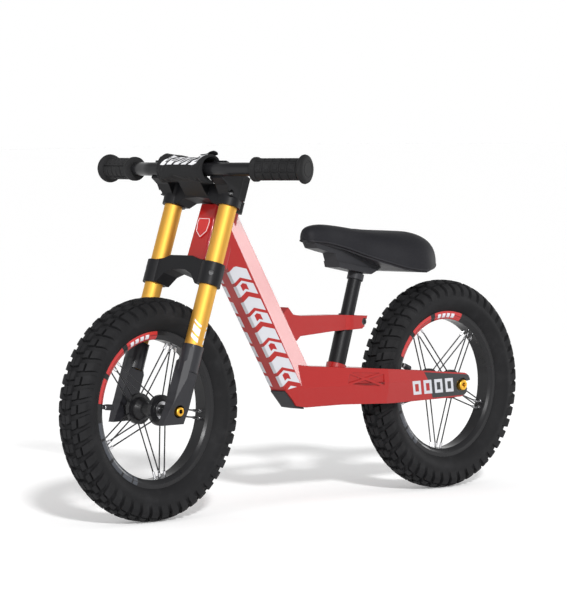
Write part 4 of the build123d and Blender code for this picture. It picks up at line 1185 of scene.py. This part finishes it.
# ---------------------------------------------------------------- saddle
@dataclass
class Saddle:
    """Padded cover with a low nose and a broad, raised rear, over its plastic pan."""

    stations: tuple = (
        (-10.5, 1.2, 383.5, 386.0), (-12.5, 9, 378.2, 391.5), (-20, 14.6, 376.6, 397.0),
        (-42, 20.2, 374.0, 399.6), (-75, 23.8, 366.0, 396.2), (-110, 32, 354.0, 391.0),
        (-140, 47.5, 343.0, 388.6), (-170, 62.5, 333.5, 387.6), (-200, 68.5, 330.0, 386.2),
        (-222, 61.5, 334.5, 380.6), (-233.5, 46, 343.0, 372.5), (-237.5, 26, 350.5, 365.5),
        (-238.2, 3, 356.5, 360.0),
    )
    rows: int = 76
    sides: int = 72
    welt_radius: float = 0.0011

    def cover(self) -> None:
        """A lofted shell: a smooth line of stations, each a closed rounded section.

        Over the top, y = w |cos a|^0.8 and z = low + h |sin a|^0.78; beneath, the section is
        nearly flat with its lip rolled under. A dip runs along the middle of the rear.
        """
        table = np.array(self.stations)
        runs = np.linalg.norm(np.diff(table[:, :2], axis=0), axis=1)
        spans = np.concatenate([[0], np.cumsum(runs)])
        want = np.linspace(0, spans[-1], self.rows)
        rows = spline(table, np.interp(want, spans, np.arange(len(table)))) * MM
        x, w, low, high = rows.T
        a = np.linspace(0, FULL_TURN, self.sides, endpoint=False)
        c, s = np.cos(a), np.sin(a)
        y = w[:, None] * (np.sign(c) * np.abs(c) ** 0.8)[None, :]
        tall = (high - low)[:, None]
        top = low[:, None] + tall * (np.abs(s) ** 0.78)[None, :]
        under = low[:, None] - np.minimum(0.0035, tall * 0.2) * (np.abs(s) ** 0.5)[None, :]
        under += 0.0025 * (1 - np.abs(c) ** 0.4)[None, :]
        z = np.where(s[None, :] >= 0, top, under)
        rear = np.clip((-x - 0.120) / 0.06, 0, 1) * np.clip((0.236 + x) / 0.03, 0, 1)
        z -= np.where(s[None, :] > 0, 0.0030 * rear[:, None] * np.exp(-(y / 0.016) ** 2), 0)
        grid = np.stack([np.repeat(x[:, None], len(a), 1), y, z], -1)
        piece = Piece("saddle_cover_padded")
        piece.sheet(grid)
        made = piece.build(Finish.LEATHER.material(), 70)
        lip = (s <= 0.06).astype(float)
        held = np.tile(lip, (len(x), 1))
        held[:2] = held[-2:] = 1.0
        puff(made, np.concatenate([held.ravel(), [1.0, 1.0]]), 1.6, 0.0, 0.0022)
        refine(made)
        place_piece(made, "seat", "saddle_leather", "saddle_cover")
        self.welt(np.stack([x, w * 0.985, low - 0.0004], 1)[3:-3])

    def welt(self, edge: np.ndarray) -> None:
        """A thin closed tube under the cover's lower edge.

        Args:
            edge: The edge's points on the left side, from the nose to the rear.
        """
        path = np.concatenate([edge, (edge * [1, -1, 1])[::-1]])
        piece = Piece("saddle_welt")
        closed = tube(np.concatenate([path[-1:], path, path[:1]]), np.array([0.0, 0.0, 1.0]),
                      self.welt_radius)[1:-1]
        piece.sheet(closed, wrap_rows=True)
        place_piece(piece.build(Finish.PAN.material(), 60), "seat", "saddle_leather")


# ---------------------------------------------------------------- frame and fork
@dataclass
class FrameDress:
    """Paint, prints and badge line of the frame, and the finishes of every other node."""

    foot: SPAN = (0.0443, 0.1655)
    head: SPAN = (0.1575, 0.3490)
    fork_angle: float = math.radians(20.17)
    stanchion_y: float = 0.0549
    line_share: float = 0.86
    line_radius: float = 0.00045
    finishes: dict[str, Finish] = field(default_factory=lambda: {
        "bar_cap": Finish.CROWN, "bar_cap_bolts": Finish.SCREW, "bash_guard": Finish.MOULDING,
        "crown_screws": Finish.SCREW, "front_axle": Finish.STEEL, "rear_axle": Finish.STEEL,
        "front_axle_nuts": Finish.GOLD, "rear_axle_nuts": Finish.GOLD,
        "front_axle_spacers": Finish.HUB, "rear_axle_spacers": Finish.HUB,
        "front_bearings": Finish.STEEL, "rear_bearings": Finish.STEEL,
        "front_hub": Finish.HUB, "rear_hub": Finish.HUB,
        "front_inner_tube": Finish.TUBE, "rear_inner_tube": Finish.TUBE,
        "front_nipples": Finish.NIPPLE, "rear_nipples": Finish.NIPPLE,
        "front_rim": Finish.RIM, "rear_rim": Finish.RIM,
        "front_spokes": Finish.SPOKE, "rear_spokes": Finish.SPOKE,
        "front_valve_stem": Finish.HUB, "rear_valve_stem": Finish.HUB,
        "handlebar": Finish.BAR, "head_badge": Finish.BADGE,
        "headset_bearings": Finish.STEEL, "headset_covers": Finish.CROWN,
        "left_fork_leg": Finish.LEG, "right_fork_leg": Finish.LEG,
        "lower_crown": Finish.CROWN, "upper_crown": Finish.CROWN,
        "post_collar": Finish.MOULDING, "saddle_base": Finish.PAN, "saddle_bracket": Finish.PAN,
        "seat_clamp_bolt": Finish.SCREW, "seat_post": Finish.POST, "seat_tube": Finish.POST,
        "steerer": Finish.CROWN, "top_cap": Finish.CROWN,
    })

    def dress(self, node: str, material: bpy.types.Material) -> None:
        """Gives a CAD node one material."""
        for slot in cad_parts[node].material_slots:
            slot.material = material
        log.info("%s is finished in %s", node, material.name)

    def badge_line(self) -> None:
        """A pale line round the badge: a thin tube along its outline, drawn in by a share.

        The tube lies on the badge's front face, the greatest dot(point - axle, forward) in it.
        """
        c, n = math.cos(self.fork_angle), math.sin(self.fork_angle)
        axle = Wheel("front", 0).centre
        forward, upward = np.array([c, 0, n]), np.array([-n, 0, c])
        outline = np.array([(-11.5, 283), (11.5, 283), (13.5, 277), (11.5, 262), (0, 252),
                            (-11.5, 262), (-13.5, 277)]) * MM
        middle = np.array([0.0, 0.2695])
        inner = (outline - middle) * self.line_share + middle
        steps = np.linspace(0, len(inner), 120, endpoint=False)
        corners = np.arange(len(inner) + 1)
        flat = np.stack([np.interp(steps, corners, np.append(inner[:, i], inner[0, i]))
                         for i in range(2)], 1)
        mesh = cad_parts["head_badge"].data
        points = np.zeros(len(mesh.vertices) * 3)
        mesh.vertices.foreach_get("co", points)
        reach = float(((points.reshape(-1, 3) - axle) @ forward).max())
        path = axle + forward * reach + np.array([0, 1.0, 0]) * flat[:, :1] + upward * flat[:, 1:]
        piece = Piece("head_badge_line")
        closed = tube(np.concatenate([path[-1:], path, path[:1]]), forward, self.line_radius,
                      8)[1:-1]
        piece.sheet(closed, wrap_rows=True)
        place_piece(piece.build(Finish.BADGE_LINE.material(), 60), "frame", "badge_paint")

    def build(self) -> None:
        """Dresses every node that stays in view."""
        run = np.subtract(self.head, self.foot)
        run /= np.linalg.norm(run)
        livery = Livery("frame_paint", paint=(0.29, 0.007, 0.006),
                        print_colour=(0.44, 0.445, 0.475), dark=(0.013, 0.014, 0.016),
                        foot=self.foot, run=(float(run[0]), float(run[1])), front_half=0.014,
                        edge_reach=0.0262)
        self.dress("frame", livery.material())
        axle = tuple(float(v) for v in Wheel("front", 0).centre)
        gold = Anodised("gold_anodised", colour=(0.60, 0.335, 0.062), mark=(0.60, 0.60, 0.62),
                        fork_angle=self.fork_angle, axle=axle, tube_y=self.stanchion_y).material()
        for side in ("left", "right"):
            self.dress(f"{side}_stanchion", gold)
        for node, finish in self.finishes.items():
            self.dress(node, finish.material())
        self.badge_line()


# ---------------------------------------------------------------- studio
@dataclass
class Studio:
    """White floor, soft lights and the camera."""

    eye: RGB = (3.6455, 3.6471, 0.5631)
    right: RGB = (-0.70984, 0.70427, -0.01150)
    up: RGB = (-0.04502, -0.02906, 0.99856)
    lens: float = 216.46
    floor_half: float = 40.0
    sky_rise: SPAN = (0.26, 0.75)
    sky_strength: SPAN = (1.0, 0.34)

    def camera(self) -> None:
        """A long lens, low and level with the bike."""
        data = bpy.data.cameras.new("camera")
        data.lens, data.sensor_width = self.lens, 36.0
        data.clip_end = 100.0
        made = bpy.data.objects.new("camera", data)
        bpy.context.scene.collection.objects.link(made)
        right, up = np.array(self.right), np.array(self.up)
        back = np.cross(right, up)
        matrix = np.eye(4)
        matrix[:3, 0], matrix[:3, 1], matrix[:3, 2], matrix[:3, 3] = right, up, back, self.eye
        made.matrix_world = Matrix(matrix.tolist())
        bpy.context.scene.camera = made

    def floor(self) -> None:
        """A wide white floor, level with the tyres' lowest point."""
        size = self.floor_half
        mesh = bpy.data.meshes.new("floor")
        mesh.from_pydata([(-size, -size, 0), (size, -size, 0), (size, size, 0), (-size, size, 0)],
                         [], [(0, 1, 2, 3)])
        s = Shader("floor_white")
        mesh.materials.append(s.finish(Base_Color=(0.92, 0.92, 0.92), Roughness=0.8,
                                       Specular_IOR_Level=0.0, Emission_Strength=0.14,
                                       Emission_Color=(1.0, 1.0, 1.0)))
        made = bpy.data.objects.new("floor", mesh)
        bpy.context.scene.collection.objects.link(made)

    def lamp(self, name: str, place: RGB, target: RGB, size: SPAN, power: float) -> None:
        """A rectangular soft light that looks at a target.

        Args:
            name: Its name.
            place: Where it stands.
            target: The point that it looks at.
            size: Its width and height.
            power: Its power in watts.
        """
        data = bpy.data.lights.new(name, "AREA")
        data.shape, data.size, data.size_y, data.energy = "RECTANGLE", size[0], size[1], power
        made = bpy.data.objects.new(name, data)
        bpy.context.scene.collection.objects.link(made)
        back = np.subtract(place, target)
        back /= np.linalg.norm(back)
        side = np.cross((0.0, 0.0, 1.0), back)
        side /= np.linalg.norm(side)
        matrix = np.eye(4)
        matrix[:3, 0], matrix[:3, 1], matrix[:3, 2] = side, np.cross(back, side), back
        matrix[:3, 3] = place
        made.matrix_world = Matrix(matrix.tolist())

    def sun(self, towards: RGB, strength: float) -> None:
        """A far soft light.

        Args:
            towards: The direction from the bike to it.
            strength: Its strength.
        """
        data = bpy.data.lights.new("sun", "SUN")
        data.energy, data.angle = strength, math.radians(5.0)
        made = bpy.data.objects.new("sun", data)
        made.rotation_mode = "QUATERNION"
        made.rotation_quaternion = Vector(towards).to_track_quat("Z", "Y")
        bpy.context.scene.collection.objects.link(made)

    def build(self) -> None:
        """Sets the room: a sky that is bright near the horizon and dim overhead, and the lights."""
        scene = bpy.context.scene
        scene.view_settings.view_transform = "Standard"
        world = bpy.data.worlds.new("room")
        world.use_nodes = True
        shade = next(n for n in world.node_tree.nodes if n.type == "BACKGROUND")
        nodes, links = world.node_tree.nodes, world.node_tree.links
        height = nodes.new("ShaderNodeSeparateXYZ")
        links.new(nodes.new("ShaderNodeTexCoord").outputs["Generated"], height.inputs[0])
        fall = nodes.new("ShaderNodeMapRange")
        fall.interpolation_type = "SMOOTHSTEP"
        keys = "From Min", "From Max", "To Min", "To Max"
        for key, value in zip(keys, (*self.sky_rise, *self.sky_strength)):
            fall.inputs[key].default_value = value
        links.new(height.outputs[2], fall.inputs["Value"])
        shade.inputs[0].default_value = (1.0, 1.0, 1.0, 1.0)
        links.new(fall.outputs[0], shade.inputs[1])
        scene.world = world
        self.camera()
        self.floor()
        self.sun((0.358, 0.532, 0.31), 3.0)
        self.lamp("front", (2.7, 0.5, 0.9), (0, 0, 0.3), (1.2, 1.2), 20.0)
        self.lamp("strip", (-2.62, 0.60, 0.59), (0.1, 0, 0.27), (0.7, 0.8), 16.0)


def main() -> None:
    """Builds the pieces in order."""
    logging.basicConfig(level=logging.INFO, format="%(name)s: %(message)s")
    Studio().build()
    FrameDress().build()
    Wheel("front", 0.0).build(6.0)
    Wheel("rear", 17.5).build(22.0)
    for side in (1, -1):
        Grip(side).build()
    BarPad().build()
    Saddle().cover()


if __name__ == "__main__":
    main()
